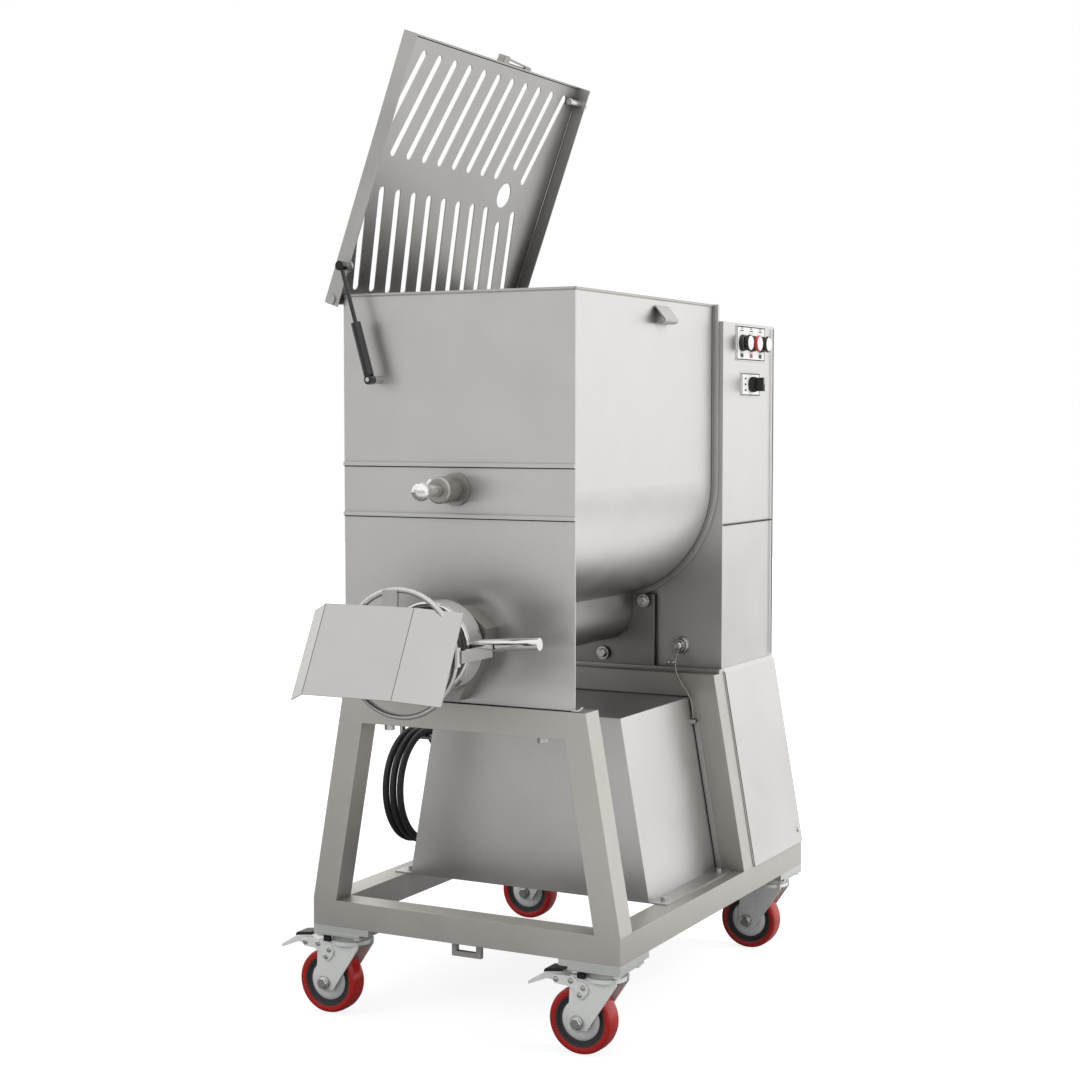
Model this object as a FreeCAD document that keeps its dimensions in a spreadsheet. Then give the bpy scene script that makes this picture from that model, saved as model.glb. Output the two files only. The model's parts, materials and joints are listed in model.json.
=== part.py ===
# Floor-standing meat mixer-grinder: a wheeled tube frame, a U-shaped mixing hopper with a slotted
# lid, a feed worm that leads to a grinder head at the front, and a drive cabinet at the back.
# Millimetres. Origin on the floor under the middle of the frame, front towards -Y, +Z up.
import FreeCAD, Part
import math
import os
import re

import Sketcher
from FreeCAD import Placement, Rotation, Vector

SIZES = [
    # Frame of square tube
    ("base_width", 655, "frame width over the bottom rails"),
    ("base_depth", 925, "frame depth, front to back"),
    ("top_width", 516, "frame width at the top beams"),
    ("wheel_room", 16, "fork's crown above the wheel"),
    ("frame_height", 633, "top of the frame above the floor"),
    ("tube_size", 51, "side of the square tube"),
    ("tube_wall", 3, "wall of the square tube"),
    ("middle_frame_y", 127, "front face of the middle frame"),
    ("loop_width", 62, "tie-down loop under the front beam"),
    ("loop_drop", 29, "how far the tie-down loop hangs down"),
    ("loop_bar", 10, "bar of the tie-down loop"),
    # Casters
    ("caster_track", 550, "swivel axes, left to right"),
    ("caster_base", 824, "swivel axes, front to back"),
    ("caster_trail", 44, "axle behind its swivel axis"),
    ("wheel_radius", 63.5, "wheel with its tread"),
    ("wheel_width", 40, "width of the tread"),
    ("rim_radius", 49, "cast core inside the tread"),
    ("hub_radius", 17, "hub of the wheel"),
    ("axle_radius", 6, "axle bolt"),
    ("fork_gap", 50, "between the fork legs"),
    ("fork_sheet", 4, "thickness of a fork leg"),
    ("pad_side", 124, "corner pad under the frame"),
    ("pad_thickness", 12, "thickness of the corner pad"),
    ("mount_plate_side", 104, "caster's own mounting plate"),
    ("mount_plate", 6, "thickness of that plate"),
    ("race_radius", 37, "swivel race"),
    ("race_height", 14, "height of the swivel race"),
    ("stem_radius", 9, "king pin of the swivel"),
    ("fork_crown", 8, "thickness of the fork's crown"),
    ("fork_foot", 19, "half width of a fork leg at the axle"),
    ("fork_drop", 14, "fork leg below the axle"),
    ("fork_front", 34, "fork leg in front of the swivel axis"),
    ("fork_back", 58, "fork leg behind the swivel axis"),
    ("fork_shoulder", 12, "depth of the leg's front shoulder"),
    ("nut_height", 6, "axle head and nut"),
    ("nut_size", 5, "axle nut round its bolt"),
    ("bolt_end", 2, "bolt past its nut"),
    ("pedal_width", 38, "brake pedal"),
    ("pedal_reach", 98, "pedal tip behind its pivot"),
    ("pedal_back", 8, "pedal pivot behind the axle"),
    ("pedal_lift", 9, "pedal pivot above the wheel"),
    ("pedal_pin", 3, "radius of the pedal's pivot pin"),
    ("pedal_plate", 10, "depth of the pedal at its pivot"),
    # Hopper
    ("hopper_x", -9.5, "centre plane of hopper, paddle and worm"),
    ("hopper_radius", 244, "outer radius of the round trough bottom"),
    ("hopper_sheet", 3, "sheet of the trough"),
    ("bowl_rise", 38, "hopper's round bottom above the worm axis"),
    ("hopper_depth", 363, "hopper rim above the paddle axis"),
    ("panel_setback", 4.5, "front panel behind the frame's front"),
    ("panel_sheet", 3, "sheet of the front panel"),
    ("seam_above", 45, "upper folded seam above the paddle axis"),
    ("seam_below", 49, "lower folded seam below the paddle axis"),
    ("seam_height", 7, "height of a folded seam"),
    ("seam_proud", 4, "how far a seam stands out"),
    ("hopper_past", 43, "back end of the trough behind the middle frame's front"),
    ("rear_plate", 8, "back plate of the hopper"),
    ("rear_flange", 11, "back plate outside the trough"),
    ("ear_width", 22, "hinge ear along the rod"),
    ("feed_slot", 92, "slot in the trough above the worm"),
    ("catch_y", -94, "middle of the lid catch"),
    ("catch_length", 112, "length of the lid catch"),
    ("catch_depth", 24, "how far the catch stands out"),
    ("catch_height", 34, "height of the lid catch"),
    ("catch_drop", 17, "top of the catch below the rim"),
    ("catch_nose", 7, "flat nose of the catch"),
    # Worm trough and its support
    ("feed_rise", 113, "worm axis above the frame"),
    ("trough_radius", 66, "outer radius of the worm trough"),
    ("trough_rise", 11, "centre of the trough's round bottom above the worm axis"),
    ("trough_sheet", 3, "sheet of the worm trough"),
    ("support_width", 231, "plate that carries the trough's back end"),
    ("support_rise", 33, "top of that plate above the trough's centre"),
    ("support_sheet", 6, "thickness of that plate"),
    ("support_bolt", 7, "radius of a support bolt's head"),
    ("bolt_height", 6, "height of a bolt's head"),
    ("bolt_inset", 21, "support bolt from the plate's edge"),
    ("bolt_drop", 13, "support bolt below the plate's top"),
    # Drive cabinet and lower housing
    ("cabinet_width", 508, "cabinet over its side sheets"),
    ("cabinet_over", 0.5, "side sheets behind the frame's back"),
    ("cabinet_drop", 34, "top of the cabinet below the hopper's rim"),
    ("cabinet_sheet", 3, "sheet of the cabinet"),
    ("ledge_depth", 21, "ledge in front of the cabinet's foot"),
    ("ledge_height", 8, "height of the ledge"),
    ("skirt_gap", 4, "side sheets behind the middle frame"),
    ("housing_front", -204, "front of the lower housing"),
    ("housing_drop", 48, "top of the lower housing below the frame's top"),
    ("housing_side", 61.5, "housing's foot from the frame's side"),
    ("housing_edge", 54, "housing's roof from the top beams' ends"),
    ("housing_sheet", 2.5, "sheet of the lower housing"),
    ("housing_flange", 40, "foot flange on each side rail"),
    ("flange_bolt", 6, "radius of a flange bolt's head"),
    ("bolt_spacing", 30, "flange bolt from the housing's end"),
    # Grinder head
    ("head_reach", 88, "head in front of the panel"),
    ("head_bore", 50, "bore radius of the head"),
    ("head_wall", 12, "wall of the head's round end"),
    ("nut_room", 44, "round end of the head inside the ring nut"),
    ("plate_thickness", 8, "perforated plate"),
    ("plate_hole", 4.5, "radius of a hole in the plate"),
    ("plate_proud", 2, "plate in front of the head's end"),
    ("nut_radius", 84, "outside of the ring nut"),
    ("nut_length", 53, "length of the ring nut"),
    ("nut_lip", 9, "lip that holds the plate"),
    ("nut_mouth", 44, "opening of the ring nut"),
    ("nut_edge", 4, "rounded front edge of the ring nut"),
    ("arm_sheet", 6, "arm that carries the guard"),
    ("arm_height", 22, "height of that arm"),
    ("arm_root", 8, "arm's foot in the ring nut"),
    ("handle_radius", 11.5, "handle bar of the ring nut"),
    ("handle_reach", 212, "end of the handle from the worm axis"),
    ("handle_tilt", 4, "handle above level, degrees"),
    ("knife_reach", 46, "knife blade tip radius"),
    ("knife_thickness", 10, "knife along the worm"),
    ("knife_blade", 18, "width of a knife blade"),
    ("worm_play", 16, "worm flight inside the trough"),
    ("worm_core", 18, "core of the worm"),
    ("worm_pitch", 62, "pitch of the flight"),
    ("flight_thickness", 8, "thickness of the flight"),
    # Discharge guard
    ("guard_ring", 112, "guard ring, centre-line radius"),
    ("guard_bar", 5.5, "bar radius of the ring"),
    ("guard_reach", 197, "guard ring in front of the panel"),
    ("guard_sheet", 2, "sheet of the deflector"),
    ("guard_left", -160, "left fold of the deflector"),
    ("guard_fold", 24, "right fold of the deflector"),
    ("guard_right", 116, "right edge of the deflector"),
    ("guard_wing", 14, "right wing turned back"),
    ("guard_lip", 48, "left lip along the ring"),
    ("guard_turn", 40, "left lip turned back"),
    ("guard_rise", 83, "top edge of the deflector above the worm axis"),
    ("guard_drop", 154, "height of the deflector"),
    ("guard_lean", 78, "bottom edge in front of the top edge"),
    ("strap_width", 30, "strap between ring and deflector"),
    ("strap_offset", 17, "middle of the strap left of the ring's middle"),
    ("strap_lap", 6, "strap over the deflector"),
    ("sleeve_radius", 9.5, "hinge sleeve on the ring"),
    ("sleeve_length", 34, "length of the hinge sleeve"),
    # Paddle and its front pin
    ("shaft_radius", 20, "paddle shaft"),
    ("pin_radius", 11, "front bearing pin"),
    ("paddle_gap", 15, "blade tips inside the trough"),
    ("paddle_blade", 130, "length of a blade along the shaft"),
    ("paddle_width", 52, "width of a blade"),
    ("paddle_sheet", 8, "thickness of a blade"),
    ("arm_radius", 11, "paddle arm"),
    ("shaft_gap", 6, "paddle shaft behind the front panel"),
    ("socket_depth", 69, "socket for the front pin"),
    ("pin_grip", 60, "front pin inside the paddle shaft"),
    ("bush_flange", 30, "radius of the bush's flange"),
    ("bush_radius", 24.5, "radius of the bush"),
    ("bush_length", 66, "bush in front of the panel"),
    ("bush_collar", 26, "collar at the bush's front"),
    ("bush_plate", 8, "thickness of the bush's flange"),
    ("bush_step", 3, "neck below the collar"),
    ("ball_radius", 17.5, "ball on the pin"),
    ("ball_reach", 124, "ball centre in front of the panel"),
    ("cross_radius", 3, "cross pin in the ball"),
    ("cross_reach", 10, "cross pin out of the ball"),
    ("cross_tilt", 40, "cross pin from upright, degrees"),
    # Lid, hinge and gas strut
    ("lid_length", 522, "lid from the hinge edge to the free edge"),
    ("lid_over", 12, "front flange of the lid in front of the panel"),
    ("lid_past", 70, "back flange of the lid behind the trough"),
    ("lid_sheet", 2, "sheet of the lid"),
    ("lid_flange", 30, "depth of the end flanges"),
    ("lid_open", 70, "opening angle, degrees"),
    ("hinge_reach", 20.1, "lid hinge axis outside the trough"),
    ("hinge_drop", 9, "lid hinge axis below the rim"),
    ("pin_inset", 9.5, "hinge axis from the lid's edge"),
    ("pin_depth", 11.8, "hinge axis below the lid's outer face"),
    ("rod_radius", 7.5, "hinge rod"),
    ("slot_width", 18, "slot in the lid"),
    ("slot_pitch", 57.4, "from slot to slot"),
    ("slot_first", -386, "first slot at its outer end"),
    ("slot_skew", 63, "sideways run of a slot"),
    ("slot_outer", 488, "outer end of the upper slots"),
    ("slot_inner", 302, "inner end of the upper slots"),
    ("slot_lower", 225, "inner end of the lower slots"),
    ("slot_foot", 39, "outer end of the lower slots"),
    ("slot_short", 26, "slots beside the fill hole are shorter by this"),
    ("fill_radius", 26, "fill hole in the lid"),
    ("latch_y", -38, "middle of the lid latch"),
    ("latch_length", 118, "length of the lid latch"),
    ("latch_foot", 24, "length of a latch foot"),
    ("latch_width", 14, "latch across the edge"),
    ("latch_hang", 4, "latch past the lid's edge"),
    ("latch_strap", 10, "width of the latch strap"),
    ("strap_sheet", 2.5, "sheet of the latch strap"),
    ("strap_rise", 5, "strap above the lid"),
    ("latch_block", 15, "height of the latch block"),
    ("stud_along", 68.7, "strut stud on the lid, from the hinge axis"),
    ("stud_depth", 15.8, "strut stud below the hinge axis"),
    ("strut_side", 163.5, "strut stud left of the centre plane"),
    ("strut_drop", 161.6, "strut stud on the panel below the rim"),
    ("strut_reach", 35, "gas strut in front of the panel"),
    ("strut_radius", 9.5, "strut cylinder"),
    ("strut_bore", 96, "depth of the strut cylinder's bore"),
    ("strut_rod", 4, "strut rod radius"),
    ("eye_radius", 9, "strut end eyes"),
    ("eye_length", 14, "strut end eyes along their studs"),
    ("stud_radius", 4, "strut studs"),
    ("lug_radius", 12, "lug round the lid's strut stud"),
    ("lug_sheet", 4, "thickness of that lug"),
    ("eye_neck", 5, "cylinder's floor above its eye"),
    ("tube_floor", 6, "floor of the strut cylinder"),
    ("rod_grip", 14, "rod inside the cylinder when open"),
    ("rod_cap", 2, "rod head round the hinge rod"),
    ("cap_length", 4, "length of a rod head"),
    ("sensor_inset", 34, "sensor bolt from the lid's free edge"),
    ("sensor_side", 26, "sensor block along the lid"),
    ("sensor_depth", 22, "sensor block below the lid"),
    ("sensor_length", 16, "sensor block along the hinge"),
    ("sensor_radius", 6, "sensor bolt"),
    ("sensor_reach", 20, "sensor bolt behind the lid"),
    ("sensor_head", 8.5, "radius of the bolt's head"),
    # Controls on the cabinet's right side
    ("button_y", 327, "middle button"),
    ("button_drop", 41, "button row below the cabinet's top"),
    ("button_pitch", 52, "from button to button"),
    ("button_radius", 12.5, "button cap"),
    ("bezel_radius", 16.5, "button bezel"),
    ("bezel_height", 9, "bezel in front of its plate"),
    ("button_height", 18, "cap face in front of its plate"),
    ("button_travel", 4, "how far a button goes in"),
    ("legend_width", 160, "button plate"),
    ("legend_height", 74, "button plate"),
    ("legend_sheet", 2, "thickness of the plates"),
    ("selector_drop", 127, "selector below the cabinet's top"),
    ("selector_width", 104, "selector plate"),
    ("selector_height", 50, "selector plate"),
    ("knob_radius", 15, "selector knob"),
    ("knob_height", 30, "selector knob in front of its plate"),
    ("knob_disc", 12, "round base of the knob"),
    ("knob_grip", 9, "grip bar of the knob"),
    ("collar_radius", 6, "collar that the knob turns on"),
    ("collar_length", 10, "length of that collar"),
    # Drain plug and its bead chain
    ("drain_inset", 90, "drain plug from the cabinet's right side"),
    ("drain_rise", 53, "drain plug above the frame"),
    ("drain_radius", 13, "drain plug"),
    ("boss_length", 14, "drain plug in front of the wall"),
    ("drain_knob", 7, "radius of the plug's grip"),
    ("knob_length", 10, "length of the plug's grip"),
    ("drain_flange", 5, "flange round the drain boss"),
    ("flange_sheet", 4, "thickness of that flange"),
    ("anchor_drop", 48, "chain tab below the housing's top"),
    ("anchor_size", 8, "height and depth of the chain tab"),
    ("anchor_reach", 10, "chain tab outside the housing"),
    ("chain_radius", 1.7, "bead chain"),
    # Power cord
    ("cord_radius", 7, "power cord"),
    ("coil_y", -97, "middle of the hung coil"),
    ("coil_share", 0.4672, "middle of the hung coil as a share of the housing's height"),
    ("coil_radius", 113, "centre line of the coil"),
    ("coil_inset", 44.5, "first loop of the coil from the frame's left side"),
    ("coil_pitch", 17, "from loop to loop"),
    ("coil_turns", 2.75, "loops in the coil"),
    ("hook_radius", 6, "bar of the cord hook"),
    ("hook_tip", 30, "upturned end of the hook"),
    ("hook_spare", 8, "hook past the last loop"),
    ("hook_plate", 20, "radius of the hook's foot"),
    ("foot_sheet", 5, "thickness of that foot"),
    ("gland_radius", 13, "cord gland"),
    ("gland_length", 24, "cord gland in front of the frame leg"),
    ("gland_inset", 35.5, "cord gland from the frame's left side"),
    ("gland_nut", 6, "nut of the gland"),
    ("gland_taper", 9, "tapered mouth of the gland"),
    ("gland_seat", 4, "cord inside the gland"),
    ("plug_radius", 16, "plug body"),
    ("plug_length", 46, "plug body"),
    ("plug_neck", 22, "strain relief of the plug"),
    ("blade_width", 6.4, "plug blade"),
    ("blade_sheet", 1.6, "plug blade"),
    ("blade_length", 18, "plug blade"),
    ("blade_spacing", 12.8, "between the blades"),
    ("earth_radius", 2.4, "earth pin"),
    ("earth_length", 21, "earth pin"),
    ("earth_offset", 8, "earth pin from the plug's middle"),
    # Drive inside the cabinet
    ("motor_radius", 92, "grinding motor"),
    ("motor_space", 31.5, "motor's end from the back frame"),
    ("motor_rise", 138, "motor axis above the bottom rails"),
    ("motor_inset", 22, "motor behind the side sheets' front edge"),
    ("motor_foot", 150, "width of the motor's foot"),
    ("foot_inset", 15, "foot from the motor's ends"),
    ("motor_plate", 6, "cross plate under the motor"),
    ("gearbox_side", 170, "worm gearbox and paddle gearbox"),
    ("gearbox_depth", 120, "gearboxes behind the cabinet wall"),
    ("gearbox_wall", 20, "closed back of a gearbox"),
    # Fits
    ("running_fit", 0.08, "radial play of a shaft in its bore"),
    ("gap", 0.3, "play between faces that pass each other"),
]

# Sizes that follow from the others.
DERIVED = [
    ("rail_bottom", "=2*wheel_radius+wheel_room+fork_crown+race_height+mount_plate+pad_thickness",
     "underside of the bottom rails above the floor"),
    ("feed_height", "=frame_height+feed_rise", "worm axis above the floor"),
    ("mixer_height", "=feed_height+bowl_rise+hopper_radius", "paddle axis above the floor"),
    ("rim_height", "=mixer_height+hopper_depth", "top rim of the hopper"),
    ("seam_upper", "=mixer_height+seam_above", "upper folded seam across the panel"),
    ("seam_lower", "=mixer_height-seam_below", "lower folded seam across the panel"),
    ("trough_height", "=feed_height+trough_rise", "centre of the trough's round bottom"),
    ("support_height", "=trough_height+support_rise", "top of the support plate"),
    ("cabinet_height", "=rim_height-cabinet_drop", "top of the cabinet"),
    ("housing_height", "=frame_height-housing_drop", "top of the lower housing"),
    ("guard_top", "=feed_height+guard_rise", "top edge of the deflector"),
    ("panel_front", "=panel_setback-base_depth/2", "front face of the front panel"),
    ("guard_y", "=panel_front-guard_reach", "plane of the guard ring"),
    ("lid_front", "=panel_front-lid_over", "front flange of the lid"),
    ("hopper_back", "=middle_frame_y+hopper_past", "back end of the trough"),
    ("lid_back", "=hopper_back+lid_past", "back flange of the lid"),
    ("skirt_front", "=middle_frame_y+tube_size+skirt_gap", "front edge of the lower side sheets"),
    ("cabinet_back", "=base_depth/2+cabinet_over", "back edge of the side sheets"),
    ("pin_x", "=hopper_x-hopper_radius-hinge_reach", "lid hinge axis"),
    ("pin_z", "=rim_height-hinge_drop", "lid hinge axis above the floor"),
    ("strut_x", "=hopper_x-strut_side", "strut stud on the front panel"),
    ("strut_z", "=rim_height-strut_drop", "strut stud on the front panel"),
    ("strut_y", "=panel_front-strut_reach", "plane of the gas strut"),
    ("button_z", "=cabinet_height-button_drop", "button row above the floor"),
    ("selector_z", "=cabinet_height-selector_drop", "selector above the floor"),
    ("drain_x", "=cabinet_width/2-drain_inset", "drain plug on the cabinet wall"),
    ("drain_z", "=frame_height+drain_rise", "drain plug above the floor"),
    ("coil_z", "=rail_bottom+tube_size+coil_share*(housing_height-rail_bottom-tube_size)",
     "middle of the hung coil"),
    ("housing_bottom", "=base_width-2*housing_side", "housing width at the rails"),
    ("housing_top", "=top_width-2*housing_edge", "housing width at its top"),
    ("coil_x", "=coil_inset-base_width/2", "first loop of the coil"),
    ("motor_axis", "=rail_bottom+tube_size+motor_rise", "motor axis above the floor"),
    ("paddle_reach", "=hopper_radius-hopper_sheet-paddle_gap", "blade tips from the paddle axis"),
    ("head_flange", "=head_reach-nut_room", "depth of the head's angular flange"),
    ("motor_length", "=base_depth/2-tube_size-skirt_front-motor_inset-motor_space", "grinding motor"),
    ("gland_x", "=gland_inset-base_width/2", "cord gland on the left leg"),
    ("worm_radius", "=trough_radius-trough_sheet-worm_play", "outside of the worm flight"),
]

doc = FreeCAD.newDocument("mixer_grinder")
sheet = doc.addObject("Spreadsheet::Sheet", "dims")
for row, (alias, value, note) in enumerate(SIZES + DERIVED, start=1):
    sheet.set("A%d" % row, alias)
    sheet.set("B%d" % row, str(value))
    sheet.set("C%d" % row, note)
    sheet.setAlias("B%d" % row, alias)
doc.recompute()

ALIASES = {alias for alias, value, note in SIZES + DERIVED}
TURNS = {
    "x": Rotation(Vector(0, 1, 0), 90),
    "y": Rotation(Vector(1, 0, 0), -90),
    "z": Rotation(),
}
pieces = []


def formula(text):
    """Write a formula in words as a formula on the sheet's cells."""
    def cell(match):
        word = match.group(0)
        return "dims." + word if word in ALIASES else word
    return re.sub(r"[a-z][a-z0-9_]*", cell, str(text))


def number(text):
    """The present value of a formula."""
    return float(sheet.evalExpression(formula(text)))


def bind(item, **sizes):
    """Tie properties of an object to formulas."""
    for name, text in sizes.items():
        item.setExpression(name, formula(text))


def place(item, x, y, z):
    """Tie an object's position to formulas."""
    for axis, text in zip("xyz", (x, y, z)):
        item.setExpression("Placement.Base." + axis, formula(text))
    return item


def piece(item):
    """Mark an object as a finished sub-part."""
    pieces.append(item)
    return item


def box(label, length, width, height, x, y, z):
    item = doc.addObject("Part::Box", label)
    bind(item, Length=length, Width=width, Height=height)
    return place(item, x, y, z)


def cylinder(label, radius, length, x, y, z, axis="z"):
    item = doc.addObject("Part::Cylinder", label)
    bind(item, Radius=radius, Height=length)
    item.Placement = Placement(Vector(), TURNS[axis])
    return place(item, x, y, z)


def fuse(label, *parts):
    item = doc.addObject("Part::MultiFuse", label)
    item.Shapes = list(parts)
    return item


def cut(label, base, *tools):
    item = doc.addObject("Part::Cut", label)
    item.Base = base
    item.Tool = tools[0] if len(tools) == 1 else fuse(label + "_cutter", *tools)
    return item


def plane_sketch(body, plane, name):
    """An empty sketch on one of a body's own origin planes."""
    sketch = body.newObject("Sketcher::SketchObject", name)
    support = [part for part in body.Origin.OriginFeatures if part.Role == plane][0]
    sketch.AttachmentSupport = [(support, "")]
    sketch.MapMode = "FlatFace"
    return sketch


def fix_point(sketch, geometry, position, point):
    """Hold one point of a sketch at two formulas."""
    for kind, text in zip(("DistanceX", "DistanceY"), point):
        rule = Sketcher.Constraint(kind, -1, 1, geometry, position, number(text))
        index = sketch.addConstraint(rule)
        sketch.setExpression("Constraints[%d]" % index, formula(text))


def add_outline(sketch, points):
    """A closed outline of straight lines through points given as formulas."""
    corners = [Vector(number(a), number(b), 0) for a, b in points]
    first = sketch.GeometryCount
    count = len(points)
    for index in range(count):
        sketch.addGeometry(Part.LineSegment(corners[index], corners[(index + 1) % count]))
    for index in range(count):
        following = first + (index + 1) % count
        sketch.addConstraint(Sketcher.Constraint("Coincident", first + index, 2, following, 1))
    for index, point in enumerate(points):
        fix_point(sketch, first + index, 1, point)


def prism(label, plane, start, depth, *outlines):
    """A body padded from outlines: XZ along Y, XY along Z, YZ along X, from start on."""
    body = doc.addObject("PartDesign::Body", label)
    sketch = plane_sketch(body, plane + "_Plane", label + "_outline")
    for points in outlines:
        add_outline(sketch, points)
    pad = body.newObject("PartDesign::Pad", label + "_pad")
    pad.Profile = sketch
    bind(pad, Length=depth)
    spots = {"XZ": ("0", "%s+%s" % (start, depth), "0"), "XY": ("0", "0", start), "YZ": (start, "0", "0")}
    return place(body, *spots[plane])


def turned(label, axis, profile, a, b):
    """A turned body. The profile has radius first for axes y and z, and x first for axis x."""
    body = doc.addObject("PartDesign::Body", label)
    plane = {"x": "XY_Plane", "y": "XY_Plane", "z": "XZ_Plane"}[axis]
    sketch = plane_sketch(body, plane, label + "_profile")
    add_outline(sketch, profile)
    turn = body.newObject("PartDesign::Revolution", label + "_turn")
    turn.Profile = sketch
    turn.ReferenceAxis = (sketch, ["H_Axis" if axis == "x" else "V_Axis"])
    turn.Angle = 360
    spots = {"x": ("0", a, b), "y": (a, "0", b), "z": (a, b, "0")}
    return place(body, *spots[axis])


# Heights and places that several pieces share
KNEE = "(rail_bottom+tube_size)"
HALF = "(base_width/2)"
TOP_HALF = "(top_width/2)"
SLOPE = "((base_width-top_width)/2/(frame_height-%s))" % KNEE
SLANT = "sqrt(1+%s*%s)" % (SLOPE, SLOPE)
FRONT = "(-base_depth/2)"
PANEL_BACK = "(panel_front+panel_sheet)"
WALL = "(hopper_back+rear_plate)"
CABINET_HALF = "(cabinet_width/2)"
HEAD_FRONT = "(panel_front-head_reach)"
CENTRE = "hopper_x"


def leg_x(height, inset="0"):
    """Outer face of a sloping leg at a height, moved inwards square to the leg."""
    return "(%s-%s*((%s)-%s)-(%s)*%s)" % (HALF, SLOPE, height, KNEE, inset, SLANT)


# Frame: closed front and back frames, a middle frame that stands on the side rails
def mirrored(points):
    """An outline from its right half, listed from bottom to top."""
    left = [("-(%s)" % x, z) for x, z in reversed(points)]
    return points + left


def ring_outlines(wall):
    """Outer and inner outline of a closed frame, both moved into the tube by the wall."""
    top = "frame_height-%s" % wall
    opening_top = "frame_height-tube_size+%s" % wall
    sill = "%s-%s" % (KNEE, wall)
    inner = "tube_size-%s" % wall
    outer_points = [
        ("%s-%s" % (HALF, wall), "rail_bottom+%s" % wall),
        ("%s-%s" % (HALF, wall), KNEE),
        (leg_x(top, wall), top),
    ]
    inner_points = [(leg_x(sill, inner), sill), (leg_x(opening_top, inner), opening_top)]
    return mirrored(outer_points), mirrored(inner_points)


def closed_frame(label, start):
    solid = prism(label + "_tube", "XZ", start, "tube_size", *ring_outlines("0"))
    hollow = prism(
        label + "_hollow", "XZ", start + "+tube_wall", "(tube_size-2*tube_wall)", *ring_outlines("tube_wall")
    )
    return cut(label, solid, hollow)


def tie_down_loop():
    """A bar loop welded under the front beam."""
    side = "(loop_width/2)"
    lower = "(rail_bottom-loop_drop)"
    outer = [("-" + side, lower), (side, lower), (side, "rail_bottom"), ("-" + side, "rail_bottom")]
    span = "(loop_width/2-loop_bar)"
    inner = [("-" + span, lower + "+loop_bar"), (span, lower + "+loop_bar"),
             (span, "rail_bottom-1"), ("-" + span, "rail_bottom-1")]
    return prism("tie_down_loop", "XZ", FRONT + "+tube_size/2-loop_bar/2", "loop_bar", outer, inner)


def middle_outline(wall):
    """Legs and top beam of the middle frame, open at the rails."""
    foot = "%s+%s" % (KNEE, wall)
    top = "frame_height-%s" % wall
    opening_top = "frame_height-tube_size+%s" % wall
    inner = "tube_size-%s" % wall
    right = [(leg_x(foot, inner), foot), (leg_x(foot, wall), foot), (leg_x(top, wall), top)]
    left = [("-" + x, z) for x, z in reversed(right)]
    inside = [("-" + leg_x(opening_top, inner), opening_top), (leg_x(opening_top, inner), opening_top)]
    return right + left + inside


def build_frame():
    piece(fuse("front_frame", closed_frame("front_ring", FRONT), tie_down_loop()))
    piece(closed_frame("rear_frame", "(base_depth/2-tube_size)"))
    solid = prism("middle_tube", "XZ", "middle_frame_y", "tube_size", middle_outline("0"))
    hollow = prism(
        "middle_hollow", "XZ", "middle_frame_y+tube_wall", "(tube_size-2*tube_wall)",
        middle_outline("tube_wall")
    )
    piece(cut("middle_frame", solid, hollow))
    length = "(base_depth-2*tube_size)"
    bore = "(tube_size-2*tube_wall)"
    for side, edge in (("right", "(%s-tube_size)" % HALF), ("left", "(-%s)" % HALF)):
        start = FRONT + "+tube_size"
        tube = box(side + "_rail_tube", "tube_size", length, "tube_size", edge, start, "rail_bottom")
        hole = box(side + "_rail_bore", bore, length, bore, edge + "+tube_wall", start,
                   "rail_bottom+tube_wall")
        piece(cut("side_rail_" + side, tube, hole))


# Casters: corner pad, plate and race on the frame, then fork, wheel and brake pedal
PAD_BOTTOM = "(rail_bottom-pad_thickness)"
RACE_TOP = "(%s-mount_plate)" % PAD_BOTTOM
RACE_BOTTOM = "(%s-race_height)" % RACE_TOP
FORK_TOP = "(%s-gap)" % RACE_BOTTOM
PEDAL_PIVOT = ("(-caster_trail-pedal_back)", "(2*wheel_radius+pedal_lift)")


def caster_mount(name, x, y, side_x, side_y):
    """Corner pad, mounting plate and swivel race, bored for the king pin."""
    pad_x = "%d*(%s-pad_side/2)-pad_side/2" % (side_x, HALF)
    pad_y = "%d*(base_depth/2-pad_side/2)-pad_side/2" % side_y
    pad = box(name + "_pad", "pad_side", "pad_side", "pad_thickness", pad_x, pad_y, PAD_BOTTOM)
    half = "-mount_plate_side/2"
    plate = box(name + "_plate", "mount_plate_side", "mount_plate_side", "mount_plate",
                x + half, y + half, RACE_TOP)
    race = cylinder(name + "_race", "race_radius", "race_height", x, y, RACE_BOTTOM)
    bore = cylinder(name + "_bore", "stem_radius+running_fit", "race_height", x, y, RACE_BOTTOM)
    return cut("caster_mount_" + name, fuse(name + "_mount", pad, plate, race), bore)


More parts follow.
